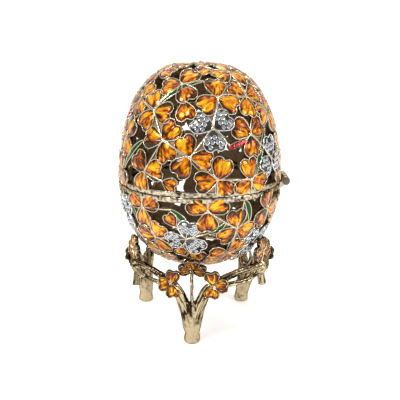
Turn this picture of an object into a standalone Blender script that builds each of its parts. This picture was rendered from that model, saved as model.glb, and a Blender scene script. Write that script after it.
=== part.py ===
"""Egg-shaped trinket box: two openwork shells of heart-shaped leaves, hinged at one side, on a twig stand.

Metres, +Z up. The front looks towards -Y, the hinge is at +X and the three feet stand on Z = 0.
"""

import math
import random

import bpy
import numpy as np
from mathutils import Vector
from mathutils.geometry import delaunay_2d_cdt

MM = 0.001

# Driving sizes of the egg
EGG_RADIUS = 31.0 * MM
EGG_BOTTOM = 24.8 * MM
LOWER_HEIGHT = 33.6 * MM
UPPER_HEIGHT = 43.2 * MM
UPPER_FULLNESS = 0.70
LOWER_FULLNESS = 0.76
SEAM_DROP = 0.7 * MM
WALL = 1.4 * MM
GAP = 0.3 * MM
RIM_HEIGHT = 1.8 * MM
RIM_SIDES = 40

# Leaves, stems and stones of the openwork
LEAF_LENGTH = 7.7 * MM
LEAF_WIDTH = 7.5 * MM
LEAF_CENTRE = 4.2 * MM
LEAF_SPACING = 7.7 * MM
LEAF_CROWN = 0.35 * MM
PAVE_CROWN = 0.8 * MM
TREFOIL_AREA = 180.0 * MM * MM
# Single leaves in the gaps: the least share of a full leaf, how far they crowd, and the places tried
GAP_LEAF_LEAST = 0.55
GAP_LEAF_CROWDING = 1.15
GAP_PLACES = 1500
HUB_RADIUS = 1.3 * MM
HUB_SIDES = 6
HUB_TURN = 0.3
STEM_POINTS = 4
BLADE_POINTS = 6
STEM_WIDTH = 1.0 * MM
BLADE_WIDTH = 2.0 * MM
STONE_RADIUS = 0.65 * MM
STONE_HEIGHT = 0.75 * MM
STONE_SPACING = 1.75 * MM
STONE_SIDES = 6
# Cut stone: shares of its height and radius
STONE_SHAPE = ((0.0, 0.8), (0.5, 1.0), (1.0, 0.6))
LEAST_HOLE = 7.0 * MM * MM
LEAST_BEND = 0.25 * MM
LEAST_SIDE = 1.0 * MM
SNAP = 0.02 * MM
PINCH_RADIUS = 0.6 * MM
PINCH_SIDES = 6
PINCH_ROUNDS = 12
BLADE_TAPER = 0.35
RIM_STEM_REACH = 11.2 * MM
SETTLING_ROUNDS = 220
PUSH_SHARE = 0.4
TWIST_SHARE = 0.35
LID_SEED = 20
BASE_SEED = 5

# Hinge at +X, with its axis along Y at the height of the seam
BARREL_RADIUS = 1.75 * MM
BARREL_CLEARANCE = 0.35 * MM
KNUCKLE_LENGTH = 3.4 * MM
PIN_RADIUS = 0.7 * MM
PIN_HEAD_RADIUS = 1.3 * MM
PIN_HEAD_THICKNESS = 0.5 * MM
PIN_HEAD_CHAMFER = 0.15 * MM
HINGE_ARM_DROP = 3.4 * MM
HINGE_ARM_ROOT = 0.85 * MM
HINGE_ARM_CLEARANCE = 0.48 * MM
HINGE_ARM_RISE = 0.6
BARREL_SIDES = 12

# Plain plate under the seam, opposite the hinge
PLATE_WIDTH = 6.0 * MM
PLATE_HEIGHT = 5.4 * MM
PLATE_CORNER = 0.6

# Stand
FOOT_CIRCLE = 24.2 * MM
FOOT_RADIUS = 2.9 * MM
CROTCH_HEIGHT = 16.2 * MM
# How far the stand is aside of the egg's axis, towards -X
STAND_LEAN = 3.0 * MM
RING_HEIGHT = 27.5 * MM
RING_RADIUS = 27.4 * MM
TWIG_RADIUS = 1.5 * MM
STEM_RADIUS = 0.6 * MM
CRADLE_HEIGHT = 27.7 * MM
CRADLE_STANDOFF = 5.6 * MM
KNOT_RISE = 5.3 * MM
CRADLE_REACH = 0.9
CHARM_LENGTH = 5.8 * MM
CHARM_WIDTH = 5.6 * MM
CHARM_HUB = 0.4 * MM
CHARM_THICKNESS = 1.3 * MM
CHARM_CROWN = 0.35 * MM
CHARM_SPREAD = math.radians(97)
LEGS = 3
TRUNK_SIDES = 8
LIMB_SIDES = 5
TWIG_SIDES = 4
SHARP_ANGLE = math.radians(35)
# Trunk: shares of the way out to the ring, of the crotch's height and of the foot's radius
TRUNK = ((0.0, 0.0, 0.86), (0.0, 0.05, 1.06), (0.04, 0.23, 0.98), (0.2, 0.57, 1.12), (0.45, 1.0, 0.8))
# Twigs: degrees aside, shares of the way out, of the way up from crotch to ring and of the twig's radius
LIMB = (
    (2.2, 0.15, -1.0, 1.45),
    (4.2, 0.42, -0.35, 1.65),
    (8.0, 0.66, 0.14, 1.45),
    (14.0, 0.88, 0.63, 1.15),
    (34.0, 1.0, 1.0, 0.9),
    (58.5, 1.0, 0.98, 1.0),
)
LOWER_TWIG = (
    (13.0, 0.86, 0.39, 0.8),
    (27.0, 0.98, 0.63, 0.67),
    (44.0, 1.06, 0.67, 0.67),
    (59.0, 1.0, 0.79, 0.87),
)
STUB = ((0.0, 1.0, 1.0, 1.13), (2.0, 1.0, 0.64, 1.0), (5.0, 1.19, 0.22, 1.17))
KNOT_LUMP = ((0.0, 1.0, 0.64, 0.87), (0.0, 1.0, 0.8, 1.53), (0.0, 1.0, 1.02, 1.47), (0.0, 1.0, 1.2, 0.8))
# Stem of a leg's cradle trefoil: shares of the way out and up, and of the stem's radius there and at its end
CRADLE_STEM = ((0.6, -0.25), (0.8, 0.4))
CRADLE_STEM_RADII = (1.6, 1.0, 1.3)
# Stem of a knot's trefoil: shares of the twig's radius
KNOT_STEM_RADII = (1.0, 0.77, 0.67)
# Trefoil beside each limb: degrees aside, shares of the way out and of the way up from crotch to ring
BRANCH_CHARM = (15.0, 1.4, 0.74)

WIDEST = EGG_BOTTOM + LOWER_HEIGHT
SEAM = WIDEST - SEAM_DROP
HINGE_X = EGG_RADIUS + BARREL_CLEARANCE + BARREL_RADIUS
# The egg's axis stands aside so that the middle of the whole box lies on the origin
AXIS_X = -(HINGE_X + BARREL_RADIUS - EGG_RADIUS) / 2

# Shares of a leaf's length and half width, from its tip to its notch
HEART = ((0.0, 0.0), (0.62, 1.0), (0.97, 0.58), (0.87, 0.0))

# Trefoils set with clear stones: azimuth, latitude and turn in degrees
PAVE_ON_LID = ((9, 31.4, 35), (57, 14.5, 95), (165, 37.1, 10), (-112, 23.0, 60))
PAVE_ON_BASE = ((-10, -29.2, 75), (52, -38.5, 20), (-68, -18.0, 40), (170, -27.3, 80))
# Green blades: azimuth and latitude in degrees of three points each
BLADES_ON_LID = (
    ((-38, 40.6), (-20, 53.8), (4, 60.2)),
    ((-43, 23.8), (-54, 17.3), (-63, 9.0)),
    ((54, 29.8), (44, 16.6), (37, 5.5)),
    ((96, 48.2), (122, 40.6), (138, 29.1)),
    ((-150, 13.1), (-138, 23.0), (-130, 35.5)),
    ((128, 6.9), (140, 13.1), (156, 16.6)),
)
BLADES_ON_BASE = (
    ((-19, -9.2), (-13, -13.4), (-8, -18.7)),
    ((6, -24.3), (12, -22.4), (17, -17.7)),
    ((30, -4.1), (34, -10.1), (36, -18.0)),
    ((-62, -7.5), (-54, -12.7), (-50, -20.7)),
    ((112, -7.5), (120, -14.5), (123, -25.4)),
    ((-122, -7.5), (-131, -14.5), (-136, -25.4)),
)
# Rows of red stones: azimuth, latitude and direction in degrees, and the number of stones
RED_ROWS = ((21, 21.9, 18, 4), (-72, 33.8, 60, 3), (-166, 24.5, -25, 3))


def egg_profile(steps=1200):
    """Radius, height and length along the wall, from the top pole down to the bottom pole."""
    turn = np.linspace(math.pi / 2, -math.pi / 2, steps + 1)
    upper = turn >= 0
    fullness = np.where(upper, UPPER_FULLNESS, LOWER_FULLNESS)
    radius = EGG_RADIUS * np.abs(np.cos(turn)) ** fullness
    height = WIDEST + np.where(upper, UPPER_HEIGHT, LOWER_HEIGHT) * np.sin(turn)
    along = np.concatenate([[0.0], np.cumsum(np.hypot(np.diff(radius), np.diff(height)))])
    return radius, height, along


RADIUS, HEIGHT, ALONG = egg_profile()
SLOPE_R = np.gradient(RADIUS, ALONG)
SLOPE_Z = np.gradient(HEIGHT, ALONG)
LENGTH = ALONG[-1]
SEAM_ALONG = float(np.interp(-SEAM, -HEIGHT, ALONG))


def along_at(latitude):
    """Length along the wall at a latitude in degrees, which is 0 where the egg is widest."""
    rise = math.sin(math.radians(latitude))
    height = WIDEST + rise * (UPPER_HEIGHT if rise > 0 else LOWER_HEIGHT)
    return float(np.interp(-height, -HEIGHT, ALONG))


def radius_at(height):
    return float(np.interp(-height, -HEIGHT, RADIUS))


def on_egg(along, azimuth, lift=0.0):
    """Points on the egg's surface, or lifted off it along its normal."""
    normal_r = -np.interp(along, ALONG, SLOPE_Z)
    normal_z = np.interp(along, ALONG, SLOPE_R)
    radius = np.interp(along, ALONG, RADIUS) + lift * normal_r
    height = np.interp(along, ALONG, HEIGHT) + lift * normal_z
    return np.stack([radius * np.sin(azimuth), -radius * np.cos(azimuth), height], -1)


def directions_at(along, azimuth):
    """The rightward and upward directions of the surface, seen from outside."""
    normal_r = -np.interp(along, ALONG, SLOPE_Z)
    normal_z = np.interp(along, ALONG, SLOPE_R)
    normal = np.stack([normal_r * np.sin(azimuth), -normal_r * np.cos(azimuth), normal_z], -1)
    right = np.stack([np.cos(azimuth), np.sin(azimuth), np.zeros_like(azimuth)], -1)
    return right, np.cross(normal, right)


def nearest(points):
    """Length along the wall and azimuth of the surface points nearest to the given ones."""
    radius = np.hypot(points[:, 0], points[:, 1])
    away = (radius[:, None] - RADIUS) ** 2 + (points[:, 2, None] - HEIGHT) ** 2
    return ALONG[away.argmin(axis=1)], np.arctan2(points[:, 0], -points[:, 1])


def arc_points(three, count):
    """Points of a smooth curve on the egg through three places."""
    first, middle, last = (
        on_egg(np.array(along_at(latitude)), np.array(math.radians(azimuth)))
        for azimuth, latitude in three
    )
    bend = 2 * middle - (first + last) / 2
    share = np.linspace(0, 1, count)[:, None]
    curve = (1 - share) ** 2 * first + 2 * share * (1 - share) * bend + share**2 * last
    along, azimuth = nearest(curve)
    return on_egg(along, azimuth)


def stone_points(row):
    """Centres of a row of red stones on the egg."""
    azimuth, latitude, direction, count = row
    along = np.array(along_at(latitude))
    turn = np.array(math.radians(azimuth))
    right, up = directions_at(along, turn)
    step = math.cos(math.radians(direction)) * right + math.sin(math.radians(direction)) * up
    start = on_egg(along, turn)
    spots = np.array([start + step * STONE_SPACING * number for number in range(count)])
    return on_egg(*nearest(spots))


def leaf_arms(along, azimuth, turn):
    """Directions of the three leaves of each trefoil, in the surface."""
    right, up = directions_at(along, azimuth)
    angles = turn[:, None] + np.arange(3) * math.tau / 3
    return np.cos(angles)[..., None] * right[:, None] + np.sin(angles)[..., None] * up[:, None]


def settled(along, azimuth, turn, loose, obstacles, reach, lowest, highest):
    """Trefoils pushed along the wall until their leaves clear each other and the obstacles."""
    count = len(along)
    owner = np.repeat(np.arange(count), 3)
    for _ in range(SETTLING_ROUNDS):
        place = on_egg(along, azimuth)
        arms = leaf_arms(along, azimuth, turn)
        leaves = (place[:, None] + LEAF_CENTRE * arms).reshape(-1, 3)
        others = np.concatenate([leaves, obstacles])
        needed = np.concatenate([np.full(len(leaves), LEAF_SPACING), LEAF_SPACING / 2 + reach])
        apart = leaves[:, None] - others[None]
        distance = np.linalg.norm(apart, axis=2) + 1e-9
        short = np.clip(needed - distance, 0, None) * 0.5
        short[:, : len(leaves)][owner[:, None] == owner[None]] = 0
        push = (apart / distance[..., None] * short[..., None]).sum(axis=1)
        leaf_along, leaf_azimuth = nearest(leaves)
        over = np.clip(leaf_along - lowest, 0, None) - np.clip(highest - leaf_along, 0, None)
        push += directions_at(leaf_along, leaf_azimuth)[1] * over[:, None]
        push = push.reshape(count, 3, 3)
        right, up = directions_at(along, azimuth)
        normal = np.cross(right, up)
        twist = (np.cross(arms, push) * normal[:, None]).sum(axis=2).sum(axis=1)
        turn = turn + loose * twist / LEAF_CENTRE * TWIST_SHARE
        along, azimuth = nearest(place + loose[:, None] * push.sum(axis=1) * PUSH_SHARE)
    return along, azimuth, turn


def strip_between(low, high):
    """Lengths along the wall between two of them, and the area down to each for one radian."""
    within = (ALONG >= low) & (ALONG <= high)
    steps = RADIUS[within][1:] * np.diff(ALONG[within])
    return ALONG[within], np.concatenate([[0.0], np.cumsum(steps)])


def spread(low, high, count):
    """Places spread evenly over the wall between two lengths along it."""
    lengths, areas = strip_between(low, high)
    share = (np.arange(count) + 0.5) / count
    return np.interp(share * areas[-1], areas, lengths), np.arange(count) * math.pi * (3 - math.sqrt(5))


def trefoils_between(low, high, pinned, obstacles, reach, seed):
    """Hubs and turns of the trefoils that cover the wall between two lengths along it."""
    area = math.tau * strip_between(low, high)[1][-1]
    count = max(4, round(area / TREFOIL_AREA) - len(pinned))
    chance = random.Random(seed)
    along, azimuth = spread(low, high, count)
    azimuth = azimuth + chance.uniform(0, math.tau)
    turn = np.array([chance.uniform(0, math.tau) for _ in range(count)])
    loose = np.ones(count)
    for degrees, latitude, twist in pinned:
        along = np.append(along, along_at(latitude))
        azimuth = np.append(azimuth, math.radians(degrees))
        turn = np.append(turn, math.radians(twist))
        loose = np.append(loose, 0.0)
    margin = LEAF_SPACING / 2 - RIM_HEIGHT / 2
    lowest = high - margin if high < LENGTH else LENGTH + LEAF_LENGTH
    highest = low + margin if low > 0 else -LEAF_LENGTH
    along, azimuth, turn = settled(along, azimuth, turn, loose, obstacles, reach, lowest, highest)
    return along, azimuth, turn, loose


def gap_leaves(hubs, leaves, obstacles, reach, low, high):
    """Tip, directions, share of the full size and nearest hub of each leaf that fills a gap."""
    along, azimuth = spread(low, high, GAP_PLACES)
    spots = on_egg(along, azimuth)
    room = np.linalg.norm(spots[:, None] - leaves[None], axis=2).min(axis=1) - LEAF_SPACING / 2
    room = np.minimum(room, (np.linalg.norm(spots[:, None] - obstacles[None], axis=2) - reach).min(axis=1))
    room = np.minimum(room, np.abs(along - (low if low > 0 else high)) - RIM_HEIGHT)
    found = []
    while room.max() > GAP_LEAF_LEAST * LEAF_SPACING / 2:
        best = room.argmax()
        size = min(1.0, room[best] * GAP_LEAF_CROWDING / (LEAF_SPACING / 2))
        outward = np.cross(*directions_at(along[best], azimuth[best]))
        hub = hubs[np.linalg.norm(hubs - spots[best], axis=1).argmin()]
        ahead = spots[best] - hub
        ahead -= outward * ahead.dot(outward)
        ahead /= np.linalg.norm(ahead)
        found.append((spots[best] - ahead * LEAF_CENTRE * size, ahead, np.cross(outward, ahead), size, hub))
        room = np.minimum(room, np.linalg.norm(spots - spots[best], axis=1) - LEAF_SPACING / 2 * size)
    return found


def heart_outline(start, ahead, across, length, width):
    """Corners of a heart that starts with its tip at a point."""
    sides = [(u, v) for u, v in HEART] + [(u, -v) for u, v in reversed(HEART[1:-1])]
    return [start + ahead * u * length + across * v * width / 2 for u, v in sides]


def ribbon(points, width, taper=1.0):
    """Outline of a strip along points on the egg, its ends narrowed to a share of its width."""
    left, right = [], []
    for i, point in enumerate(points):
        before = points[max(i - 1, 0)]
        after = points[min(i + 1, len(points) - 1)]
        normal = point - np.array([0, 0, WIDEST])
        across = np.cross(normal, after - before)
        share = i / (len(points) - 1)
        half = width / 2 * (taper + (1 - taper) * math.sin(math.pi * share))
        across = across / np.linalg.norm(across) * half
        left.append(point + across)
        right.append(point - across)
    return left + right[::-1]


def disc(centre, radius):
    """Outline of a small round patch on the egg."""
    along, azimuth = nearest(centre[None])
    right, up = directions_at(along, azimuth)
    angles = np.arange(HUB_SIDES) * math.tau / HUB_SIDES + HUB_TURN
    return [centre + radius * (math.cos(a) * right[0] + math.sin(a) * up[0]) for a in angles]


def stem_pairs(hubs):
    """Pairs of neighbouring hubs that stems join, enough to hold all of them together."""
    apart = np.linalg.norm(hubs[:, None] - hubs[None], axis=2)
    order = sorted((apart[i, j], i, j) for i in range(len(hubs)) for j in range(i))
    group = list(range(len(hubs)))
    pairs = []
    for _, i, j in order:
        if group[i] != group[j]:
            pairs.append((i, j))
            old = group[i]
            group = [group[j] if mark == old else mark for mark in group]
    return pairs


def closed_plate(front, back, faces):
    """A closed solid from a net of faces, given its corners in front and behind."""
    count = len(front)
    after, _ = rim_of(faces)
    walls = [(b, a, a + count, b + count) for a, b in after.items()]
    behind = [tuple(i + count for i in reversed(face)) for face in faces]
    return front + back, [tuple(face) for face in faces] + behind + walls


def rim_of(faces):
    """The next corner along the open side of a net, for each corner on it, and where parts only touch."""
    sides = {(a, b) for face in faces for a, b in zip(face, face[1:] + face[:1])}
    after, touching = {}, []
    for a, b in sides:
        if (b, a) in sides:
            continue
        if a in after:
            touching.append(a)
        after[a] = b
    return after, touching


def loops_of(corners, faces):
    """Closed loops round a net and its holes, without corners that hardly bend them."""
    after, _ = rim_of(faces)
    loops = []
    while after:
        loop = [next(iter(after))]
        while loop[-1] in after:
            loop.append(after.pop(loop[-1]))
        loops.append([corners[i] for i in loop[:-1]])
    slim = []
    for loop in loops:
        kept = []
        for i, corner in enumerate(loop):
            before = kept[-1] if kept else loop[-1]
            way = loop[(i + 1) % len(loop)] - before
            off = abs(way.cross(corner - before)) / max(way.length, 1e-9)
            if off > LEAST_BEND and (corner - before).length > LEAST_SIDE:
                kept.append(corner)
        if len(kept) > 2:
            slim.append(kept)
    return slim


def loop_area(loop):
    return sum(a.cross(b) for a, b in zip(loop, loop[1:] + loop[:1])) / 2


def inside(spots, outline):
    """Which of the spots lie inside a closed outline."""
    start = np.array(outline)
    end = np.roll(start, -1, axis=0)
    found = np.zeros(len(spots), bool)
    for (ax, ay), (bx, by) in zip(start, end):
        if ay == by:
            continue
        level = (ay > spots[:, 1]) != (by > spots[:, 1])
        found ^= level & (spots[:, 0] < ax + (spots[:, 1] - ay) * (bx - ax) / (by - ay))
    return found


def triangulated(corners, outlines):
    """Triangles that respect all outlines, their middles, and where each corner came from."""
    found, _, patches, origins, _, _ = delaunay_2d_cdt(corners, [], outlines, 1, SNAP)
    places = np.array(found)
    middles = np.array([places[list(patch)].mean(axis=0) for patch in patches])
    return found, patches, middles, origins


def covering(corners, faces):
    """The net of triangles over overlapping patches."""
    found, patches, middles, _ = triangulated(corners, faces)
    covered = np.zeros(len(patches), bool)
    for face in faces:
        covered |= inside(middles, [corners[i] for i in face])
    return found, [patch for patch, wanted in zip(patches, covered) if wanted]


def lean_net(found, kept, crowns):
    """The same net from its outlines alone, its small gaps filled, with a lift for each corner."""
    loops = sorted(loops_of(found, kept), key=loop_area, reverse=True)
    loops = loops[:1] + [loop for loop in loops[1:] if loop_area(loop) < -LEAST_HOLE]
    points, outlines = [], []
    for loop in loops:
        outlines.append(list(range(len(points), len(points) + len(loop))))
        points += loop
    lifts = [0.0] * len(points) + list(crowns.values())
    points += [Vector(place) for place in crowns]
    found, patches, middles, origins = triangulated(points, outlines)
    wanted = inside(middles, loops[0])
    for hole in loops[1:]:
        wanted &= ~inside(middles, hole)
    kept = [patch for patch, keep in zip(patches, wanted) if keep]
    used = sorted({i for face in kept for i in face})
    place = {old: new for new, old in enumerate(used)}
    heights = [max((lifts[i] for i in origins[old]), default=0.0) for old in used]
    return [found[i] for i in used], [[place[i] for i in face] for face in kept], heights


def united(corners, faces, crowns):
    """A lean net over overlapping patches, with a small patch wherever two parts would only touch."""
    corners, faces = list(corners), list(faces)
    for _ in range(PINCH_ROUNDS):
        found, kept = covering(corners, faces)
        touching = [found[i] for i in rim_of(kept)[1]]
        if not touching:
            net = lean_net(found, kept, crowns)
            touching = [net[0][i] for i in rim_of(net[1])[1]]
        if not touching:
            break
        for spot in touching:
            start = len(corners)
            for side in range(PINCH_SIDES):
                angle = side * math.tau / PINCH_SIDES
                corners.append(spot + Vector((math.cos(angle), math.sin(angle))) * PINCH_RADIUS)
            faces.append(list(range(start, start + PINCH_SIDES)))
    return net


class Chart:
    """A flat map of one half of the egg, with its pole in the middle."""

    def __init__(self, from_top, rim_along):
        self.from_top = from_top
        self.rim = rim_along if from_top else LENGTH - rim_along
        self.corners = []
        self.faces = []
        self.lifts = {}

    def flat(self, points, limit=None):
        along, azimuth = nearest(np.array(points))
        away = along if self.from_top else LENGTH - along
        away = np.minimum(away, self.rim if limit is None else limit)
        return [Vector((d * math.sin(a), -d * math.cos(a))) for d, a in zip(away, azimuth)]

    def add(self, points, crown=None):
        """A patch given by its outline, with an optional middle raised by crown."""
        corners = self.flat(points, self.rim - RIM_HEIGHT / 2)
        start = len(self.corners)
        order = list(range(start, start + len(corners)))
        self.faces.append(order if loop_area(corners) > 0 else order[::-1])
        self.corners += corners
        if crown:
            self.lifts[len(self.corners)] = crown
            self.corners.append(sum(corners, Vector((0, 0))) / len(corners))

    def add_rim(self):
        """The plain band along the seam."""
        start = len(self.corners)
        for away in (self.rim - RIM_HEIGHT, self.rim):
            for side in range(RIM_SIDES):
                angle = side * math.tau / RIM_SIDES
                self.corners.append(Vector((away * math.sin(angle), -away * math.cos(angle))))
        for side in range(RIM_SIDES):
            after = (side + 1) % RIM_SIDES
            inner, outer = start, start + RIM_SIDES
            self.faces.append([inner + side, outer + side, outer + after, inner + after])

    def net(self):
        """The united patches as one net of triangles, with the lift of each corner."""
        crowns = {tuple(self.corners[i]): lift for i, lift in self.lifts.items()}
        return united(self.corners, self.faces, crowns)

    def solid(self):
        """Corners and faces of the wall, closed all round."""
        corners, faces, lifts = self.net()
        away = np.array([corner.length for corner in corners])
        azimuth = np.array([math.atan2(corner.x, -corner.y) for corner in corners])
        along = away if self.from_top else LENGTH - away
        outer = on_egg(along, azimuth, np.array(lifts))
        inner = on_egg(along, azimuth, -WALL)
        if not self.from_top:
            faces = [face[::-1] for face in faces]
        return closed_plate(list(outer), list(inner), faces)


def material(name, colour, roughness, metallic):
    made = bpy.data.materials.new(name)
    made.use_nodes = True
    shader = made.node_tree.nodes["Principled BSDF"]
    shader.inputs["Base Color"].default_value = (*colour, 1.0)
    shader.inputs["Roughness"].default_value = roughness
    shader.inputs["Metallic"].default_value = metallic
    return made


def piece(name, points, faces, look, origin=(0.0, 0.0, 0.0)):
    """An object whose mesh is given about the egg's axis, with its own origin at a place there."""
    mesh = bpy.data.meshes.new(name)
    mesh.from_pydata([Vector(point) - Vector(origin) for point in points], [], faces)
    mesh.validate()
    made = bpy.data.objects.new(name, mesh)
    made.location = Vector(origin) + Vector((AXIS_X, 0, 0))
    mesh.materials.append(look)
    bpy.context.scene.collection.objects.link(made)
    mesh.set_sharp_from_angle(angle=SHARP_ANGLE)
    return made


def joined(meshes):
    """Several closed meshes in one list of points and faces."""
    points, faces = [], []
    for some_points, some_faces in meshes:
        start = len(points)
        points += [Vector(point) for point in some_points]
        faces += [tuple(i + start for i in face) for face in some_faces]
    return points, faces


def prism(outline, low, high):
    """A closed solid between two copies of an outline that runs counterclockwise seen from +Y to -Y."""
    count = len(outline)
    points = [(x, low, z) for x, z in outline] + [(x, high, z) for x, z in outline]
    faces = [tuple(range(count)), tuple(reversed(range(count, 2 * count)))]
    for i in range(count):
        after = (i + 1) % count
        faces.append((i, i + count, after + count, after))
    return points, faces


def unite(made, others):
    """Boolean union of an object with closed meshes that overlap it and each other."""
    points, faces = joined(others)
    helper = piece(made.name + "_part", points, faces, made.data.materials[0])
    helper.hide_render = True
    helper.display_type = "WIRE"
    union = made.modifiers.new("union", "BOOLEAN")
    union.operation = "UNION"
    union.solver = "EXACT"
    union.use_self = True
    union.object = helper


def circle(centre_x, centre_z, radius, sides):
    angles = [i * math.tau / sides for i in range(sides)]
    return [(centre_x + radius * math.cos(a), centre_z + radius * math.sin(a)) for a in angles]


def knuckle(low, high, upward):
    """A hinge barrel with its bore, and the arm that joins it to a shell's rim."""
    outer = circle(HINGE_X, SEAM, BARREL_RADIUS, BARREL_SIDES)
    inner = circle(HINGE_X, SEAM, PIN_RADIUS + GAP, BARREL_SIDES)
    count = BARREL_SIDES
    points = [(x, y, z) for y in (low, high) for ring in (outer, inner) for x, z in ring]
    faces = []
    for i in range(count):
        after = (i + 1) % count
        faces.append((i, i + 2 * count, after + 2 * count, after))
        faces.append((count + i, count + after, 3 * count + after, 3 * count + i))
        faces.append((i, after, count + after, count + i))
        faces.append((2 * count + i, 3 * count + i, 3 * count + after, 2 * count + after))
    side = 1 if upward else -1
    root = EGG_RADIUS - HINGE_ARM_ROOT
    near = HINGE_X - PIN_RADIUS - HINGE_ARM_CLEARANCE
    arm = [
        (root, SEAM + side * GAP),
        (near, SEAM + side * GAP),
        (near, SEAM + side * (PIN_RADIUS + GAP) / 2),
        (HINGE_X - PIN_RADIUS / 2, SEAM + side * (PIN_RADIUS + BARREL_RADIUS) * HINGE_ARM_RISE),
        (root, SEAM + side * HINGE_ARM_DROP),
    ]
    return (points, faces), prism(arm if upward else arm[::-1], low + GAP / 3, high - GAP / 3)


def shell(name, from_top, pave, blades, seed, look, origin):
    """One openwork half of the egg: trefoils of leaves, stems, blades, stone settings and its rim."""
    rim_along = SEAM_ALONG - GAP / 2 if from_top else SEAM_ALONG + GAP / 2
    low, high = (0.0, rim_along) if from_top else (rim_along, LENGTH)
    curves = [arc_points(three, BLADE_POINTS) for three in blades]
    rows = [stone_points(row) for row in RED_ROWS] if from_top else []
    spots = [(p, BLADE_WIDTH / 2) for curve in curves for p in curve]
    spots += [(p, STONE_RADIUS * 2) for row in rows for p in row]
    obstacles = np.array([point for point, _ in spots])
    reach = np.array([size for _, size in spots])
    along, azimuth, turn, loose = trefoils_between(low, high, pave, obstacles, reach, seed)
    hubs = on_egg(along, azimuth)
    arms = leaf_arms(along, azimuth, turn)
    normals = np.cross(*directions_at(along, azimuth))
    chart = Chart(from_top, rim_along)
    chart.add_rim()
    for hub, three, normal, free in zip(hubs, arms, normals, loose):
        chart.add(disc(hub, HUB_RADIUS))
        for arm in three:
            across = np.cross(normal, arm)
            crown = LEAF_CROWN if free else PAVE_CROWN
            chart.add(heart_outline(hub, arm, across, LEAF_LENGTH, LEAF_WIDTH), crown)
    leaves = (hubs[:, None] + LEAF_CENTRE * arms).reshape(-1, 3)
    for start, ahead, across, size, hub in gap_leaves(hubs, leaves, obstacles, reach, low, high):
        chart.add(heart_outline(start, ahead, across, LEAF_LENGTH * size, LEAF_WIDTH * size), LEAF_CROWN)
        chart.add(ribbon(stem_points(hub, start), STEM_WIDTH))
    for i, j in stem_pairs(hubs):
        chart.add(ribbon(stem_points(hubs[i], hubs[j]), STEM_WIDTH))
    for hub, place in rim_stems(hubs, along, azimuth, rim_along):
        chart.add(ribbon(stem_points(hub, place), STEM_WIDTH))
    for curve, taper in [(curve, BLADE_TAPER) for curve in curves] + [(row, 1.0) for row in rows]:
        chart.add(ribbon(list(curve), BLADE_WIDTH, taper))
        for end in (curve[0], curve[-1]):
            near = hubs[np.linalg.norm(hubs - end, axis=1).argmin()]
            chart.add(ribbon(stem_points(end, near), STEM_WIDTH))
    if not from_top:
        chart.add(plate_outline())
    points, faces = chart.solid()
    return piece(name, points, faces, look, origin)


def stem_points(start, end):
    """Points of a stem that follows the egg from one place to another."""
    share = np.linspace(0, 1, STEM_POINTS)[:, None]
    return list(on_egg(*nearest(start + (end - start) * share)))


def rim_stems(hubs, along, azimuth, rim_along):
    """Stems from the trefoils nearest to the rim down or up to it."""
    found = []
    for hub, length, angle in zip(hubs, along, azimuth):
        if abs(length - rim_along) < RIM_STEM_REACH:
            found.append((hub, on_egg(np.array(rim_along), np.array(angle))))
    return found


def plate_outline():
    """The plain plate under the seam, opposite the hinge."""
    middle = SEAM_ALONG + GAP / 2 + PLATE_HEIGHT / 2
    half = PLATE_WIDTH / 2 / EGG_RADIUS
    outline = []
    cut = PLATE_CORNER
    for side, level in ((-1, -1), (-1, cut), (-cut, 1), (cut, 1), (1, cut), (1, -1)):
        azimuth = np.array(-math.pi / 2 + side * half)
        outline.append(on_egg(np.array(middle + level * PLATE_HEIGHT / 2), azimuth))
    return outline


def at(degrees, radius, height):
    """A point by its azimuth about the egg's axis."""
    angle = math.radians(degrees)
    return Vector((radius * math.sin(angle), -radius * math.cos(angle), height))


def tube(points, radii, sides, flat_start=False):
    """A closed round bar along points, with its own radius at each."""
    ahead = [(points[min(i + 1, len(points) - 1)] - points[max(i - 1, 0)]).normalized()
             for i in range(len(points))]
    if flat_start:
        ahead[0] = Vector((0, 0, 1))
    across = ahead[0].orthogonal().normalized()
    corners = []
    for point, way, radius in zip(points, ahead, radii):
        across = (across - way * across.dot(way)).normalized()
        other = way.cross(across)
        for side in range(sides):
            angle = side * math.tau / sides
            corners.append(point + (across * math.cos(angle) + other * math.sin(angle)) * radius)
    faces = [tuple(reversed(range(sides)))]
    for ring in range(len(points) - 1):
        for side in range(sides):
            after = (side + 1) % sides
            start = ring * sides
            faces.append((start + side, start + after, start + sides + after, start + sides + side))
    faces.append(tuple(range(len(corners) - sides, len(corners))))
    return corners, faces


def charm_net():
    """Flat net of a small trefoil: a middle heart and one to each side, round a hub at the origin."""
    corners, faces, crowns = [], [], {}
    for angle in (-CHARM_SPREAD, 0.0, CHARM_SPREAD):
        ahead = Vector((math.sin(angle), math.cos(angle)))
        across = Vector((ahead.y, -ahead.x))
        outline = heart_outline(-ahead * CHARM_HUB, ahead, across, CHARM_LENGTH, CHARM_WIDTH)
        middle = sum(outline, Vector((0, 0))) / len(outline)
        start = len(corners)
        order = list(range(start, start + len(outline)))
        faces.append(order if loop_area(outline) > 0 else order[::-1])
        corners += outline
        crowns[tuple(middle)] = CHARM_CROWN
    return united(corners, faces, crowns)


CHARM_NET = charm_net()


def charm(hub, right, up):
    """A small trefoil plate round a hub, with its middle heart towards up."""
    outward = right.cross(up).normalized()
    corners, faces, lifts = CHARM_NET
    flat = [hub + right * corner.x + up * corner.y for corner in corners]
    half = outward * CHARM_THICKNESS / 2
    front = [point + half + outward * lift for point, lift in zip(flat, lifts)]
    return [closed_plate(front, [point - half for point in flat], faces)]


def cradle_frame(degrees, height):
    """Hub and directions of a trefoil that leans along the egg until its top meets it."""
    hub = at(degrees, radius_at(height) + CRADLE_STANDOFF, height)
    top = height + CHARM_LENGTH * CRADLE_REACH
    egg = radius_at(top) + CHARM_THICKNESS / 2 + LEAF_CROWN + GAP * 2
    up = (at(degrees, egg, top) - hub).normalized()
    return hub, around(degrees), up


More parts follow.
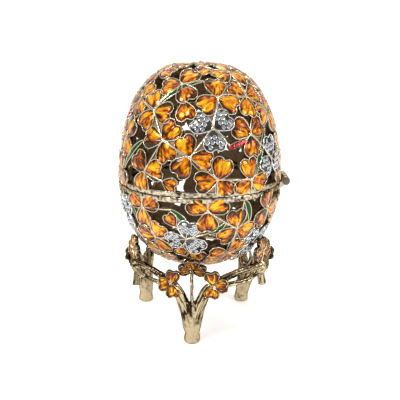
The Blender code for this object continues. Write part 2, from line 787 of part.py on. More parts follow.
def around(degrees):
    """The rightward direction at an azimuth, seen from outside."""
    return Vector((math.cos(math.radians(degrees)), math.sin(math.radians(degrees)), 0))


def stand_point(degrees, out, up):
    """A point between the foot circle and the ring, and between the crotch's height and the ring's."""
    height = CROTCH_HEIGHT + (RING_HEIGHT - CROTCH_HEIGHT) * up
    return at(degrees, FOOT_CIRCLE + (RING_RADIUS - FOOT_CIRCLE) * out, height)


def twig(degrees, side, table, sides):
    """A bent twig whose points are given to one side of an azimuth."""
    path = [stand_point(degrees + side * aside, out, up) for aside, out, up, _ in table]
    return tube(path, [TWIG_RADIUS * share for *_, share in table], sides)


def leg(degrees):
    """One foot with its trunk, the two limbs it parts into, and the trefoils they carry."""
    way_out = RING_RADIUS - FOOT_CIRCLE
    trunk = [at(degrees, FOOT_CIRCLE + way_out * out, CROTCH_HEIGHT * up) for out, up, _ in TRUNK]
    made = [tube(trunk, [FOOT_RADIUS * share for *_, share in TRUNK], TRUNK_SIDES, flat_start=True)]
    aside, out, up = BRANCH_CHARM
    for side in (-1, 1):
        made.append(twig(degrees, side, LIMB, LIMB_SIDES))
        made.append(twig(degrees, side, LOWER_TWIG, TWIG_SIDES))
        hub = stand_point(degrees + side * aside, out, up)
        made += charm(hub, Vector((0, 0, -side)), around(degrees) * side)
    hub, right, up = cradle_frame(degrees, CRADLE_HEIGHT)
    path = [stand_point(degrees, *place) for place in CRADLE_STEM] + [hub - up * CHARM_HUB]
    made.append(tube(path, [STEM_RADIUS * share for share in CRADLE_STEM_RADII], TWIG_SIDES))
    made += charm(hub, right, up)
    return made


def knot(degrees):
    """The meeting of two legs' twigs, with a cut twig end below it and a trefoil above."""
    middle = stand_point(degrees, 1.0, 1.0)
    hub, right, up = cradle_frame(degrees, CRADLE_HEIGHT + KNOT_RISE)
    rise = [middle, (middle + hub) / 2, hub + up * CHARM_HUB * 2]
    thickness = [TWIG_RADIUS * share for share in KNOT_STEM_RADII]
    return [
        twig(degrees, 1, KNOT_LUMP, LIMB_SIDES),
        twig(degrees, 1, STUB, LIMB_SIDES),
        tube(rise, thickness, TWIG_SIDES),
        *charm(hub, right, up),
    ]


def leaned(point):
    """A point of the stand moved towards -X: round the egg at all heights, across it only low down."""
    share = max(0.0, 1 - point[2] / (CRADLE_HEIGHT - CHARM_WIDTH / 2))
    away = math.hypot(point[0], point[1])
    sine, cosine = point[0] / away, -point[1] / away
    slide = -STAND_LEAN * cosine
    across = -STAND_LEAN * sine * share
    return Vector(point) + Vector((slide * cosine + across * sine, slide * sine - across * cosine, 0))


def stand(look):
    """Three legs and three knots as one casting."""
    parts = []
    for number in range(LEGS):
        parts += leg(number * 360 / LEGS)
        parts += knot((number + 0.5) * 360 / LEGS)
    parts = [([leaned(point) for point in points], faces) for points, faces in parts]
    made = piece("stand", *parts[0], look)
    unite(made, parts[1:])
    return made


def turned(profile, sides):
    """A closed solid turned about the hinge axis: radius and place along Y, from -Y to +Y."""
    points = [(HINGE_X, profile[0][1], SEAM)]
    for radius, along in profile[1:-1]:
        points += [(x, along, z) for x, z in circle(HINGE_X, SEAM, radius, sides)]
    points.append((HINGE_X, profile[-1][1], SEAM))
    faces = []
    for side in range(sides):
        after = (side + 1) % sides
        faces.append((0, 1 + after, 1 + side))
        for ring in range(len(profile) - 3):
            a, b = 1 + ring * sides, 1 + (ring + 1) * sides
            faces.append((a + side, a + after, b + after, b + side))
        last = 1 + (len(profile) - 3) * sides
        faces.append((last + side, last + after, len(points) - 1))
    return points, [face[::-1] for face in faces]


def hinge_pin(look):
    """The pin through the three knuckles, with a flat round head at each end."""
    reach = KNUCKLE_LENGTH * 1.5 + GAP * 2
    end = reach + PIN_HEAD_THICKNESS
    edge = PIN_HEAD_CHAMFER
    profile = [
        (0, -end),
        (PIN_HEAD_RADIUS - edge, -end),
        (PIN_HEAD_RADIUS, -end + edge),
        (PIN_HEAD_RADIUS, -reach),
        (PIN_RADIUS, -reach),
    ]
    profile += [(radius, -along) for radius, along in reversed(profile)]
    return piece("hinge_pin", *turned(profile, BARREL_SIDES), look, (HINGE_X, 0, SEAM))


def red_stone(number, centre, look):
    """A small cut stone over its setting."""
    along, azimuth = nearest(centre[None])
    right, up = directions_at(along, azimuth)
    outward = np.cross(right[0], up[0])
    points = []
    for rise, share in STONE_SHAPE:
        level = centre + outward * (GAP + STONE_HEIGHT * rise)
        for side in range(STONE_SIDES):
            angle = side * math.tau / STONE_SIDES
            aside = math.cos(angle) * right[0] + math.sin(angle) * up[0]
            points.append(level + aside * STONE_RADIUS * share)
    count = STONE_SIDES
    faces = [tuple(reversed(range(count))), tuple(range(2 * count, 3 * count))]
    for ring in (0, count):
        for side in range(count):
            after = (side + 1) % count
            faces.append((ring + side, ring + after, ring + count + after, ring + count + side))
    return piece(f"red_stone_{number:02d}", points, faces, look)


def build():
    for old in list(bpy.data.objects):
        bpy.data.objects.remove(old, do_unlink=True)
    gold = material("pale_gold", (0.72, 0.62, 0.42), 0.35, 1.0)
    amber = material("amber_enamel_and_gold", (0.86, 0.40, 0.04), 0.2, 0.3)
    red = material("red_stone", (0.72, 0.01, 0.05), 0.1, 0.0)
    steel = material("pin_steel", (0.40, 0.34, 0.28), 0.4, 1.0)
    hinge = (HINGE_X, 0, SEAM)
    lid = shell("lid", True, PAVE_ON_LID, BLADES_ON_LID, LID_SEED, amber, hinge)
    base = shell("base", False, PAVE_ON_BASE, BLADES_ON_BASE, BASE_SEED, amber, (0, 0, 0))
    half = KNUCKLE_LENGTH / 2
    unite(lid, knuckle(-half, half, True))
    outer_low = half + GAP
    outer_high = outer_low + KNUCKLE_LENGTH
    unite(base, [*knuckle(outer_low, outer_high, False), *knuckle(-outer_high, -outer_low, False)])
    hinge_pin(steel)
    stand(gold)
    centres = [point for row in RED_ROWS for point in stone_points(row)]
    for number, centre in enumerate(centres, 1):
        red_stone(number, centre, red)


build()
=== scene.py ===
"""Looks of the egg-shaped trinket box: enamelled openwork shells, stones, hinge and a cast twig stand.

Metres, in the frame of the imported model. The layout functions repeat those of the part, about the egg's axis.
"""

import math
import random

import bpy
import numpy as np
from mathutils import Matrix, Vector, kdtree, noise
from mathutils.geometry import delaunay_2d_cdt

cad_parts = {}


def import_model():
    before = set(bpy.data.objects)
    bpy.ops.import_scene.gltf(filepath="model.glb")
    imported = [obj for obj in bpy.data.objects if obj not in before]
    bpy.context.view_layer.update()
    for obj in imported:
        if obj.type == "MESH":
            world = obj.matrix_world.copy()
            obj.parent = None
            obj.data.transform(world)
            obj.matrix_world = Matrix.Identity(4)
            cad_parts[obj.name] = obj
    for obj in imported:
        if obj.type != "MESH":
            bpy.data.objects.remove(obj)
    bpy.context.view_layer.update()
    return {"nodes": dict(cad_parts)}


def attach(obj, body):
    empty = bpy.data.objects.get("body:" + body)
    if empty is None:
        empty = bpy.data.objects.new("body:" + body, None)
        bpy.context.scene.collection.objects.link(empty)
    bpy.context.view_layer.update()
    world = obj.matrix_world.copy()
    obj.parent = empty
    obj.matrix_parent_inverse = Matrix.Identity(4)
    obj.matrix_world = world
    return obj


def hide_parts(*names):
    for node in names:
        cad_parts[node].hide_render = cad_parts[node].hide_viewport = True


MM = 0.001

# Sizes shared with the part: the egg
EGG_RADIUS = 31.0 * MM
EGG_BOTTOM = 24.8 * MM
LOWER_HEIGHT = 33.6 * MM
UPPER_HEIGHT = 43.2 * MM
UPPER_FULLNESS = 0.70
LOWER_FULLNESS = 0.76
SEAM_DROP = 0.7 * MM
WALL = 1.4 * MM
GAP = 0.3 * MM
RIM_HEIGHT = 1.8 * MM

# Sizes shared with the part: leaves, stems, blades and stones
LEAF_LENGTH = 7.7 * MM
LEAF_WIDTH = 7.5 * MM
LEAF_CENTRE = 4.2 * MM
LEAF_SPACING = 7.7 * MM
TREFOIL_AREA = 180.0 * MM * MM
GAP_LEAF_LEAST = 0.55
GAP_LEAF_CROWDING = 1.15
GAP_PLACES = 1500
HUB_RADIUS = 1.3 * MM
STEM_WIDTH = 1.0 * MM
BLADE_POINTS = 6
BLADE_WIDTH = 2.0 * MM
BLADE_TAPER = 0.35
STONE_RADIUS = 0.65 * MM
STONE_HEIGHT = 0.75 * MM
STONE_SPACING = 1.75 * MM
RIM_STEM_REACH = 11.2 * MM
SETTLING_ROUNDS = 220
PUSH_SHARE = 0.4
TWIST_SHARE = 0.35
LID_SEED = 20
BASE_SEED = 5

# Sizes shared with the part: hinge and plate
BARREL_RADIUS = 1.75 * MM
BARREL_CLEARANCE = 0.35 * MM
KNUCKLE_LENGTH = 3.4 * MM
PIN_RADIUS = 0.7 * MM
HINGE_ARM_DROP = 3.4 * MM
HINGE_ARM_ROOT = 0.85 * MM
HINGE_ARM_CLEARANCE = 0.48 * MM
HINGE_ARM_RISE = 0.6
PLATE_WIDTH = 6.0 * MM
PLATE_HEIGHT = 5.4 * MM

# Sizes shared with the part: stand
FOOT_CIRCLE = 24.2 * MM
FOOT_RADIUS = 2.9 * MM
CROTCH_HEIGHT = 16.2 * MM
STAND_LEAN = 3.0 * MM
RING_HEIGHT = 27.5 * MM
RING_RADIUS = 27.4 * MM
TWIG_RADIUS = 1.5 * MM
STEM_RADIUS = 0.6 * MM
CRADLE_HEIGHT = 27.7 * MM
CRADLE_STANDOFF = 5.6 * MM
KNOT_RISE = 5.3 * MM
CRADLE_REACH = 0.9
CHARM_LENGTH = 5.8 * MM
CHARM_WIDTH = 5.6 * MM
CHARM_HUB = 0.4 * MM
CHARM_THICKNESS = 1.3 * MM
CHARM_CROWN = 0.35 * MM
CHARM_SPREAD = math.radians(97)
LEGS = 3
# Trunk: shares of the way out to the ring, of the crotch's height and of the foot's radius
TRUNK = ((0.0, 0.0, 0.86), (0.0, 0.05, 1.06), (0.04, 0.23, 0.98), (0.2, 0.57, 1.12), (0.45, 1.0, 0.8))
# Twigs: degrees aside, shares of the way out, of the way up from crotch to ring and of the twig's radius
LIMB = (
    (2.2, 0.15, -1.0, 1.45),
    (4.2, 0.42, -0.35, 1.65),
    (8.0, 0.66, 0.14, 1.45),
    (14.0, 0.88, 0.63, 1.15),
    (34.0, 1.0, 1.0, 0.9),
    (58.5, 1.0, 0.98, 1.0),
)
LOWER_TWIG = (
    (13.0, 0.86, 0.39, 0.8),
    (27.0, 0.98, 0.63, 0.67),
    (44.0, 1.06, 0.67, 0.67),
    (59.0, 1.0, 0.79, 0.87),
)
STUB = ((0.0, 1.0, 1.0, 1.13), (2.0, 1.0, 0.64, 1.0), (5.0, 1.19, 0.22, 1.17))
KNOT_LUMP = ((0.0, 1.0, 0.64, 0.87), (0.0, 1.0, 0.8, 1.53), (0.0, 1.0, 1.02, 1.47), (0.0, 1.0, 1.2, 0.8))
CRADLE_STEM = ((0.6, -0.25), (0.8, 0.4))
CRADLE_STEM_RADII = (1.6, 1.0, 1.3)
KNOT_STEM_RADII = (1.0, 0.77, 0.67)
BRANCH_CHARM = (15.0, 1.4, 0.74)

# Wires: radius, heights over the wall, and the height under which they darken over a depth, which is patina
# with painted shade
WIRE = 0.2 * MM
WIRE_TOP = 0.36 * MM
WIRE_SHOULDER = 0.14 * MM
WIRE_FOOT = -0.9 * MM
WIRE_CREST = (0.6, 0.85)
WIRE_SIDES = 8
PATINA_AND_SHADE_TOP = 0.126 * MM
PATINA_AND_SHADE_DEPTH = 0.3 * MM
STEM_SHARE = 0.34
STEM_STEPS = 6
STEM_SHADE = 0.15
# Star on a hub: shares of its radius with lifts in millimetres, then length and thickness of its rays
HUB_SIDES = 12
HUB_SECTION = ((0.62, -0.42), (0.6, 0.2), (0.42, 0.42), (0.14, 0.5))
RAY_LENGTH = 1.9
RAY_SHARES = (0.36, 0.16)
RAY_LIFT = 0.2 * MM

# Dark wall behind the wires: its levels and grid, its darkness, its smooth angle and its smallest holes
WEB_LEVEL = -0.42 * MM
WEB_RISE = 0.1 * MM
WEB_GRID = 1.6 * MM
WEB_CLEARANCE = 1.2
WEB_SHADE = 0.5
WEB_SMOOTH = 40
LEAST_HOLE = 7.0 * MM * MM
SNAP = 0.01 * MM

# Leaves: how much larger than the solid's, how they tilt, and their dome of enamel with its crease and veins
LEAF_GROWTH = 1.04
LEAF_SAMPLES = 4
LEAF_TILT = 0.55 * MM
LOOKS_SEED_SHIFT = 100
TILTS = (-0.2, 1.0)
LEANS = (-0.7, 0.7)
TRENCH = 0.1 * MM
ENAMEL_DOME = 0.5 * MM
ENAMEL_RINGS = (1.0, 1.0, 0.94, 0.85, 0.72, 0.57, 0.41, 0.24, 0.08)
ENAMEL_ROUNDING = 2.4
ENAMEL_MIDDLE = 0.56
ENAMEL_CREASE = 0.28 * MM
CREASE_WIDTH = 0.2
VEINS = 13
VEIN_SWAYS = 5
VEIN_SWAY = 3
VEIN_SHIFT = 40
SWAY_SHIFT = 17
VEIN_ROOT = 0.12
VEIN_HEIGHT = 0.12

# Green blades: shares of half their width and lifts of their section in millimetres
BLADE_SAMPLES = 5
BLADE_STRIP_STEP = 3
BLADE_WIRE_LIFT = 0.1 * MM
BLADE_SHARES = (-1, -0.6, 0, 0.6, 1, 1, -1)
BLADE_LIFTS = (0.06, 0.16, 0.2, 0.16, 0.06, -0.42, -0.42)

# Clear stones: their bed, their size and the room between them
BED_LEVELS = (WEB_LEVEL, 0.05 * MM, 0.25 * MM)
BED_INSET = 0.8
BED_SHARE = 0.85
BED_SHIFT = 0.08
CLEAR_STONE_RADIUS = 0.86 * MM
CLEAR_STONE_SPACING = 1.8 * MM
CLEAR_STONE_SIZES = (0.88, 1.08)
CLEAR_STONE_SHARE = 0.78
CLEAR_STONE_HEIGHT = 0.5 * MM
CLEAR_STONE_SINK = -0.1 * MM
CLEAR_STONE_COLUMNS = 4
CLEAR_STONE_ROOM = 0.8
ROW_SHARE = 0.87
# Cut stones: shares of radius and height. Collars: shares of radius, lifts in millimetres and darkness, which
# is patina with painted shade at their feet
CUT = ((0.8, 0.0), (1.0, 0.4), (0.62, 1.0))
CUT_SIDES = 8
CLEAR_COLLAR = ((1.04, -0.15, 1.0), (1.0, 0.2, 0.1), (0.86, 0.24, 0.0), (0.74, -0.1, 1.0))
COLLAR_SIDES = 10
RED_COLLAR_SIDES = 16
RED_COLLAR = ((1.25, -0.7, 0.9), (1.3, 0.1, 0.2), (1.15, 0.28, 0.0), (1.02, 0.1, 0.9), (0.95, -0.7, 1.0))

# Rim: shares of its height with lifts in millimetres, and its hammered dents, with patina and painted shade in
# the dents and on its hidden faces
RIM_FACE = ((0.0, 0.1), (0.1, 0.22), *((share, 0.24) for share in (0.25, 0.4, 0.55, 0.7, 0.85)), (0.95, 0.2),
            (1.0, 0.05))
RIM_MARGIN = 0.45 * MM
RIM_COLUMNS = 300
RIM_SIDES = 120
DENT_SPACING = 0.9 * MM
DENT_DEPTH = 0.22 * MM
DENT_SHADE = 0.2 * MM
RIM_SHADE = 0.38
HIDDEN_SHADE = 0.9
RIM_INSET = 0.05 * MM

# Plate: corners of its outline, then its section in shares of that, lifts in millimetres and darkness, which is
# patina with painted shade low down
PLATE_CORNERS = ((-1, -1), (-1, 0), (-0.92, 0.72), (-0.5, 1), (0.5, 1), (0.92, 0.72), (1, 0), (1, -1))
PLATE_SECTION = ((1.0, -1.4, 0.9), (1.0, 0.2, 0.3), (0.95, 0.36, 0.05), (0.7, 0.4, 0.0), (0.4, 0.4, 0.0),
                 (0.1, 0.4, 0.0))
PLATE_SAMPLES = 6

# Hinge: chamfer and sides of its knuckles, and the darkness of their arms
BARREL_CHAMFER = 0.2 * MM
BARREL_SIDES = 40
ARM_SHADE = 0.3

# Small trefoils of the stand: their wires, and their enamel with the least and the span of its shades
CHARM_WIRE = 0.23 * MM
CHARM_INSET = 0.161 * MM
CHARM_PLATE = 0.1 * MM
CHARM_PLATE_SHADE = 0.5
CHARM_WIRE_TOP = 0.3 * MM
CHARM_WIRE_SHOULDER = 0.05 * MM
# Darkness of their wires from the outer foot over the top to the inner foot, patina with painted shade low down
CHARM_EDGES = ((0.8,), (0.65,), (0.2,), (0.1,), (0.2,), (0.9,), (1.0,))
CHARM_DOME = 0.34 * MM
CHARM_CREASE = 0.26 * MM
CHARM_SHADES = (0.3, 0.7)
CHARM_SEED = 3

# Bark of the stand: grooves along the bars, lumps and pits, with depths in millimetres
STAND_VOXEL = 0.27 * MM
BAR_SAMPLES = 8
BAR_SIDES = 20
GROOVE_TURNS = 1.9
GROOVE_LENGTH = 11 * MM
GROOVE_WIDTH = 0.13
GROOVE_DEPTH = 0.42
GROOVE_SHIFT = 7
LUMP_SIZE = 2.6 * MM
LUMP_DEPTH = 0.14
PIT_SIZE = 1.0 * MM
PIT_DEPTH = 0.09
PIT_SHIFT = (9, 3, 1)
PLAIN_FOOT = 7 * MM
FOOT_GROOVE = 0.15
FLAT_FOOT = 0.5 * MM
# Its patina with painted shade: darkness where it is level, and the depth over which that goes from none to
# full
BARK_SHADE = 0.12
BARK_SHADE_DEPTH = 0.34

# Pieces of each half: their name, their look and the angle in degrees under which edges are smooth
SHELL_PIECES = (
    ("metal", "gold", 50),
    ("enamel", "amber", 60),
    ("blades", "green", 60),
    ("settings", "silver", 50),
    ("clear_stones", "clear", None),
)
# Enamel: the shade before its streaks, folds and edge are added
ENAMEL_SHADE = -2.06

# Camera, fitted to the photograph
CAMERA_ELEVATION = 15.085
CAMERA_DISTANCE = 217.3 * MM
CAMERA_AIM = 48.73 * MM
CAMERA_LENS = 49.08
# Floor: its front edge, where it starts to rise, the radius of its bend, its reach and its glow
FLOOR_FRONT = -1.2
FLOOR_BACK = 0.35
FLOOR_BEND = 0.4
FLOOR_REACH = 1.6
FLOOR_GLOW = 0.42
# Lamps: the height they aim at, then place, size and power of each
LAMP_AIM = 50 * MM
LAMPS = {
    "key": ((-0.28, -0.30, 0.38), (0.12, 0.12), 1.25),
    "fill": ((0.36, -0.22, 0.22), (0.12, 0.12), 0.6),
    "top": ((0.0, 0.12, 0.45), (0.3, 0.2), 0.5),
}

WIDEST = EGG_BOTTOM + LOWER_HEIGHT
SEAM = WIDEST - SEAM_DROP
HINGE_X = EGG_RADIUS + BARREL_CLEARANCE + BARREL_RADIUS
AXIS_X = -(HINGE_X + BARREL_RADIUS - EGG_RADIUS) / 2

# Half outline of a leaf from its tip to its notch: shares of its length and half width
HEART = ((0.0, 0.0), (0.26, 0.62), (0.60, 1.0), (0.88, 0.84), (0.98, 0.42), (0.89, 0.0))

# Trefoils set with clear stones: azimuth, latitude and turn in degrees
PAVE_ON_LID = ((9, 31.4, 35), (57, 14.5, 95), (165, 37.1, 10), (-112, 23.0, 60))
PAVE_ON_BASE = ((-10, -29.2, 75), (52, -38.5, 20), (-68, -18.0, 40), (170, -27.3, 80))
# Green blades: azimuth and latitude in degrees of three points each
BLADES_ON_LID = (
    ((-38, 40.6), (-20, 53.8), (4, 60.2)),
    ((-43, 23.8), (-54, 17.3), (-63, 9.0)),
    ((54, 29.8), (44, 16.6), (37, 5.5)),
    ((96, 48.2), (122, 40.6), (138, 29.1)),
    ((-150, 13.1), (-138, 23.0), (-130, 35.5)),
    ((128, 6.9), (140, 13.1), (156, 16.6)),
)
BLADES_ON_BASE = (
    ((-19, -9.2), (-13, -13.4), (-8, -18.7)),
    ((6, -24.3), (12, -22.4), (17, -17.7)),
    ((30, -4.1), (34, -10.1), (36, -18.0)),
    ((-62, -7.5), (-54, -12.7), (-50, -20.7)),
    ((112, -7.5), (120, -14.5), (123, -25.4)),
    ((-122, -7.5), (-131, -14.5), (-136, -25.4)),
)
# Rows of red stones: azimuth, latitude and direction in degrees, and the number of stones
RED_ROWS = ((21, 21.9, 18, 4), (-72, 33.8, 60, 3), (-166, 24.5, -25, 3))


# The egg's surface

def egg_profile(steps=1200):
    """Radius, height and length along the wall, from the top pole down to the bottom pole."""
    turn = np.linspace(math.pi / 2, -math.pi / 2, steps + 1)
    upper = turn >= 0
    fullness = np.where(upper, UPPER_FULLNESS, LOWER_FULLNESS)
    radius = EGG_RADIUS * np.abs(np.cos(turn)) ** fullness
    height = WIDEST + np.where(upper, UPPER_HEIGHT, LOWER_HEIGHT) * np.sin(turn)
    along = np.concatenate([[0.0], np.cumsum(np.hypot(np.diff(radius), np.diff(height)))])
    return radius, height, along


RADIUS, HEIGHT, ALONG = egg_profile()
SLOPE_R = np.gradient(RADIUS, ALONG)
SLOPE_Z = np.gradient(HEIGHT, ALONG)
LENGTH = ALONG[-1]
SEAM_ALONG = float(np.interp(-SEAM, -HEIGHT, ALONG))


def along_at(latitude):
    """Length along the wall at a latitude in degrees, which is 0 where the egg is widest."""
    rise = math.sin(math.radians(latitude))
    height = WIDEST + rise * (UPPER_HEIGHT if rise > 0 else LOWER_HEIGHT)
    return float(np.interp(-height, -HEIGHT, ALONG))


def radius_at(height):
    return float(np.interp(-height, -HEIGHT, RADIUS))


def slopes(along):
    """The wall's outward direction at a length along it: its parts across the axis and up it."""
    return -np.interp(along, ALONG, SLOPE_Z), np.interp(along, ALONG, SLOPE_R)


def on_egg(along, azimuth, lift=0.0):
    """Points on the egg's surface, or lifted off it along its normal."""
    normal_r, normal_z = slopes(along)
    radius = np.interp(along, ALONG, RADIUS) + lift * normal_r
    height = np.interp(along, ALONG, HEIGHT) + lift * normal_z
    return np.stack([radius * np.sin(azimuth), -radius * np.cos(azimuth), height], -1)


def directions_at(along, azimuth):
    """The rightward and upward directions of the surface, seen from outside."""
    normal_r, normal_z = slopes(along)
    normal = np.stack([normal_r * np.sin(azimuth), -normal_r * np.cos(azimuth), normal_z], -1)
    right = np.stack([np.cos(azimuth), np.sin(azimuth), np.zeros_like(azimuth)], -1)
    return right, np.cross(normal, right)


def nearest(points, smooth=False):
    """Length along the wall and azimuth of the nearest surface points, without steps if smooth."""
    radius = np.hypot(points[:, 0], points[:, 1])
    away = (radius[:, None] - RADIUS) ** 2 + (points[:, 2, None] - HEIGHT) ** 2
    found = away.argmin(axis=1)
    along = ALONG[found]
    if smooth:
        beyond = (radius - RADIUS[found]) * SLOPE_R[found] + (points[:, 2] - HEIGHT[found]) * SLOPE_Z[found]
        along = np.clip(along + beyond, 0, LENGTH)
    return along, np.arctan2(points[:, 0], -points[:, 1])


# The layout of leaves, stems, blades and stones

def arc_points(three, count):
    """Points of a smooth curve on the egg through three places."""
    first, middle, last = (
        on_egg(np.array(along_at(latitude)), np.array(math.radians(azimuth)))
        for azimuth, latitude in three
    )
    bend = 2 * middle - (first + last) / 2
    share = np.linspace(0, 1, count)[:, None]
    curve = (1 - share) ** 2 * first + 2 * share * (1 - share) * bend + share**2 * last
    along, azimuth = nearest(curve)
    return on_egg(along, azimuth)


def stone_points(row):
    """Centres of a row of red stones on the egg."""
    azimuth, latitude, direction, count = row
    along = np.array(along_at(latitude))
    turn = np.array(math.radians(azimuth))
    right, up = directions_at(along, turn)
    step = math.cos(math.radians(direction)) * right + math.sin(math.radians(direction)) * up
    start = on_egg(along, turn)
    spots = np.array([start + step * STONE_SPACING * number for number in range(count)])
    return on_egg(*nearest(spots))


def leaf_arms(along, azimuth, turn):
    """Directions of the three leaves of each trefoil, in the surface."""
    right, up = directions_at(along, azimuth)
    angles = turn[:, None] + np.arange(3) * math.tau / 3
    return np.cos(angles)[..., None] * right[:, None] + np.sin(angles)[..., None] * up[:, None]


def settled(along, azimuth, turn, loose, obstacles, reach, lowest, highest):
    """Trefoils pushed along the wall until their leaves clear each other and the obstacles."""
    count = len(along)
    owner = np.repeat(np.arange(count), 3)
    for _ in range(SETTLING_ROUNDS):
        place = on_egg(along, azimuth)
        arms = leaf_arms(along, azimuth, turn)
        leaves = (place[:, None] + LEAF_CENTRE * arms).reshape(-1, 3)
        others = np.concatenate([leaves, obstacles])
        needed = np.concatenate([np.full(len(leaves), LEAF_SPACING), LEAF_SPACING / 2 + reach])
        apart = leaves[:, None] - others[None]
        distance = np.linalg.norm(apart, axis=2) + 1e-9
        short = np.clip(needed - distance, 0, None) * 0.5
        short[:, : len(leaves)][owner[:, None] == owner[None]] = 0
        push = (apart / distance[..., None] * short[..., None]).sum(axis=1)
        leaf_along, leaf_azimuth = nearest(leaves)
        over = np.clip(leaf_along - lowest, 0, None) - np.clip(highest - leaf_along, 0, None)
        push += directions_at(leaf_along, leaf_azimuth)[1] * over[:, None]
        push = push.reshape(count, 3, 3)
        right, up = directions_at(along, azimuth)
        normal = np.cross(right, up)
        twist = (np.cross(arms, push) * normal[:, None]).sum(axis=2).sum(axis=1)
        turn = turn + loose * twist / LEAF_CENTRE * TWIST_SHARE
        along, azimuth = nearest(place + loose[:, None] * push.sum(axis=1) * PUSH_SHARE)
    return along, azimuth, turn


def strip_between(low, high):
    """Lengths along the wall between two of them, and the area down to each for one radian."""
    within = (ALONG >= low) & (ALONG <= high)
    steps = RADIUS[within][1:] * np.diff(ALONG[within])
    return ALONG[within], np.concatenate([[0.0], np.cumsum(steps)])


def spread(low, high, count):
    """Places spread evenly over the wall between two lengths along it."""
    lengths, areas = strip_between(low, high)
    share = (np.arange(count) + 0.5) / count
    return np.interp(share * areas[-1], areas, lengths), np.arange(count) * math.pi * (3 - math.sqrt(5))


def trefoils_between(low, high, pinned, obstacles, reach, seed):
    """Hubs and turns of the trefoils that cover the wall between two lengths along it."""
    area = math.tau * strip_between(low, high)[1][-1]
    count = max(4, round(area / TREFOIL_AREA) - len(pinned))
    chance = random.Random(seed)
    along, azimuth = spread(low, high, count)
    azimuth = azimuth + chance.uniform(0, math.tau)
    turn = np.array([chance.uniform(0, math.tau) for _ in range(count)])
    loose = np.ones(count)
    for degrees, latitude, twist in pinned:
        along = np.append(along, along_at(latitude))
        azimuth = np.append(azimuth, math.radians(degrees))
        turn = np.append(turn, math.radians(twist))
        loose = np.append(loose, 0.0)
    margin = LEAF_SPACING / 2 - RIM_HEIGHT / 2
    lowest = high - margin if high < LENGTH else LENGTH + LEAF_LENGTH
    highest = low + margin if low > 0 else -LEAF_LENGTH
    along, azimuth, turn = settled(along, azimuth, turn, loose, obstacles, reach, lowest, highest)
    return along, azimuth, turn, loose


def gap_leaves(hubs, leaves, obstacles, reach, low, high):
    """Tip, directions, share of the full size and nearest hub of each leaf that fills a gap."""
    along, azimuth = spread(low, high, GAP_PLACES)
    spots = on_egg(along, azimuth)
    room = np.linalg.norm(spots[:, None] - leaves[None], axis=2).min(axis=1) - LEAF_SPACING / 2
    room = np.minimum(room, (np.linalg.norm(spots[:, None] - obstacles[None], axis=2) - reach).min(axis=1))
    room = np.minimum(room, np.abs(along - (low if low > 0 else high)) - RIM_HEIGHT)
    found = []
    while room.max() > GAP_LEAF_LEAST * LEAF_SPACING / 2:
        best = room.argmax()
        size = min(1.0, room[best] * GAP_LEAF_CROWDING / (LEAF_SPACING / 2))
        outward = np.cross(*directions_at(along[best], azimuth[best]))
        hub = hubs[np.linalg.norm(hubs - spots[best], axis=1).argmin()]
        ahead = spots[best] - hub
        ahead -= outward * ahead.dot(outward)
        ahead /= np.linalg.norm(ahead)
        found.append((spots[best] - ahead * LEAF_CENTRE * size, ahead, np.cross(outward, ahead), size, hub))
        room = np.minimum(room, np.linalg.norm(spots - spots[best], axis=1) - LEAF_SPACING / 2 * size)
    return found


def stem_pairs(hubs):
    """Pairs of neighbouring hubs that stems join, enough to hold all of them together."""
    apart = np.linalg.norm(hubs[:, None] - hubs[None], axis=2)
    order = sorted((apart[i, j], i, j) for i in range(len(hubs)) for j in range(i))
    group = list(range(len(hubs)))
    pairs = []
    for _, i, j in order:
        if group[i] != group[j]:
            pairs.append((i, j))
            old = group[i]
            group = [group[j] if mark == old else mark for mark in group]
    return pairs


# Meshes from rings of points

def linked(name, data):
    """A new object in the scene."""
    made = bpy.data.objects.new(name, data)
    bpy.context.scene.collection.objects.link(made)
    return made


def mark(mesh, name, values):
    """A number or vector at each point of a mesh, which its material reads."""
    kind, field = ("FLOAT", "value") if values.ndim == 1 else ("FLOAT_VECTOR", "vector")
    mesh.attributes.new(name, kind, "POINT").data.foreach_set(field, values.astype(np.float32).ravel())


class Bag:
    """Points, faces and marks of one piece, gathered from closed rings."""

    def __init__(self):
        self.points, self.faces, self.leaf, self.edge = [], [], [], []
        self.count = 0

    def stack(self, rings, leaf=(0.0, 0.0, 0.0), edge=0.0, loop=False):
        """A closed body through rings of equal size; loop joins the last ring to the first."""
        rings = np.asarray(rings, float)
        many, size = rings.shape[:2]
        index = self.count + np.arange(many * size).reshape(many, size)
        lower, upper = (index, np.roll(index, -1, axis=0)) if loop else (index[:-1], index[1:])
        quads = np.stack([lower, np.roll(lower, -1, axis=1), np.roll(upper, -1, axis=1), upper], -1)
        self.faces += quads.reshape(-1, 4).tolist()
        if not loop:
            self.faces += [index[0][::-1].tolist(), index[-1].tolist()]
        leaf = np.broadcast_to(leaf, (many, size, 3)).reshape(-1, 3)
        self.keep(rings.reshape(-1, 3), leaf, np.broadcast_to(edge, (many, size)).ravel())

    def keep(self, points, leaf, edge):
        self.points.append(points)
        self.leaf.append(leaf)
        self.edge.append(edge)
        self.count += len(points)

    def made(self, name, look, sharp=None):
        """The object with its marks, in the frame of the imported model."""
        mesh = bpy.data.meshes.new(name)
        points = np.concatenate(self.points) + np.array([AXIS_X, 0, 0])
        mesh.from_pydata(points.tolist(), [], self.faces)
        mesh.materials.append(look)
        mark(mesh, "leaf", np.concatenate(self.leaf))
        mark(mesh, "edge", np.concatenate(self.edge))
        if sharp is not None:
            mesh.shade_smooth()
            mesh.set_sharp_from_angle(angle=math.radians(sharp))
        return linked(name, mesh)


def smooth_loop(corners, samples):
    """A closed smooth curve through corners."""
    here = np.asarray(corners, float)
    before, after, beyond = np.roll(here, 1, 0), np.roll(here, -1, 0), np.roll(here, -2, 0)
    share = (np.arange(samples) / samples)[None, :, None]
    curve = bend_between(before[:, None], here[:, None], after[:, None], beyond[:, None], share)
    return curve.reshape(-1, here.shape[1])


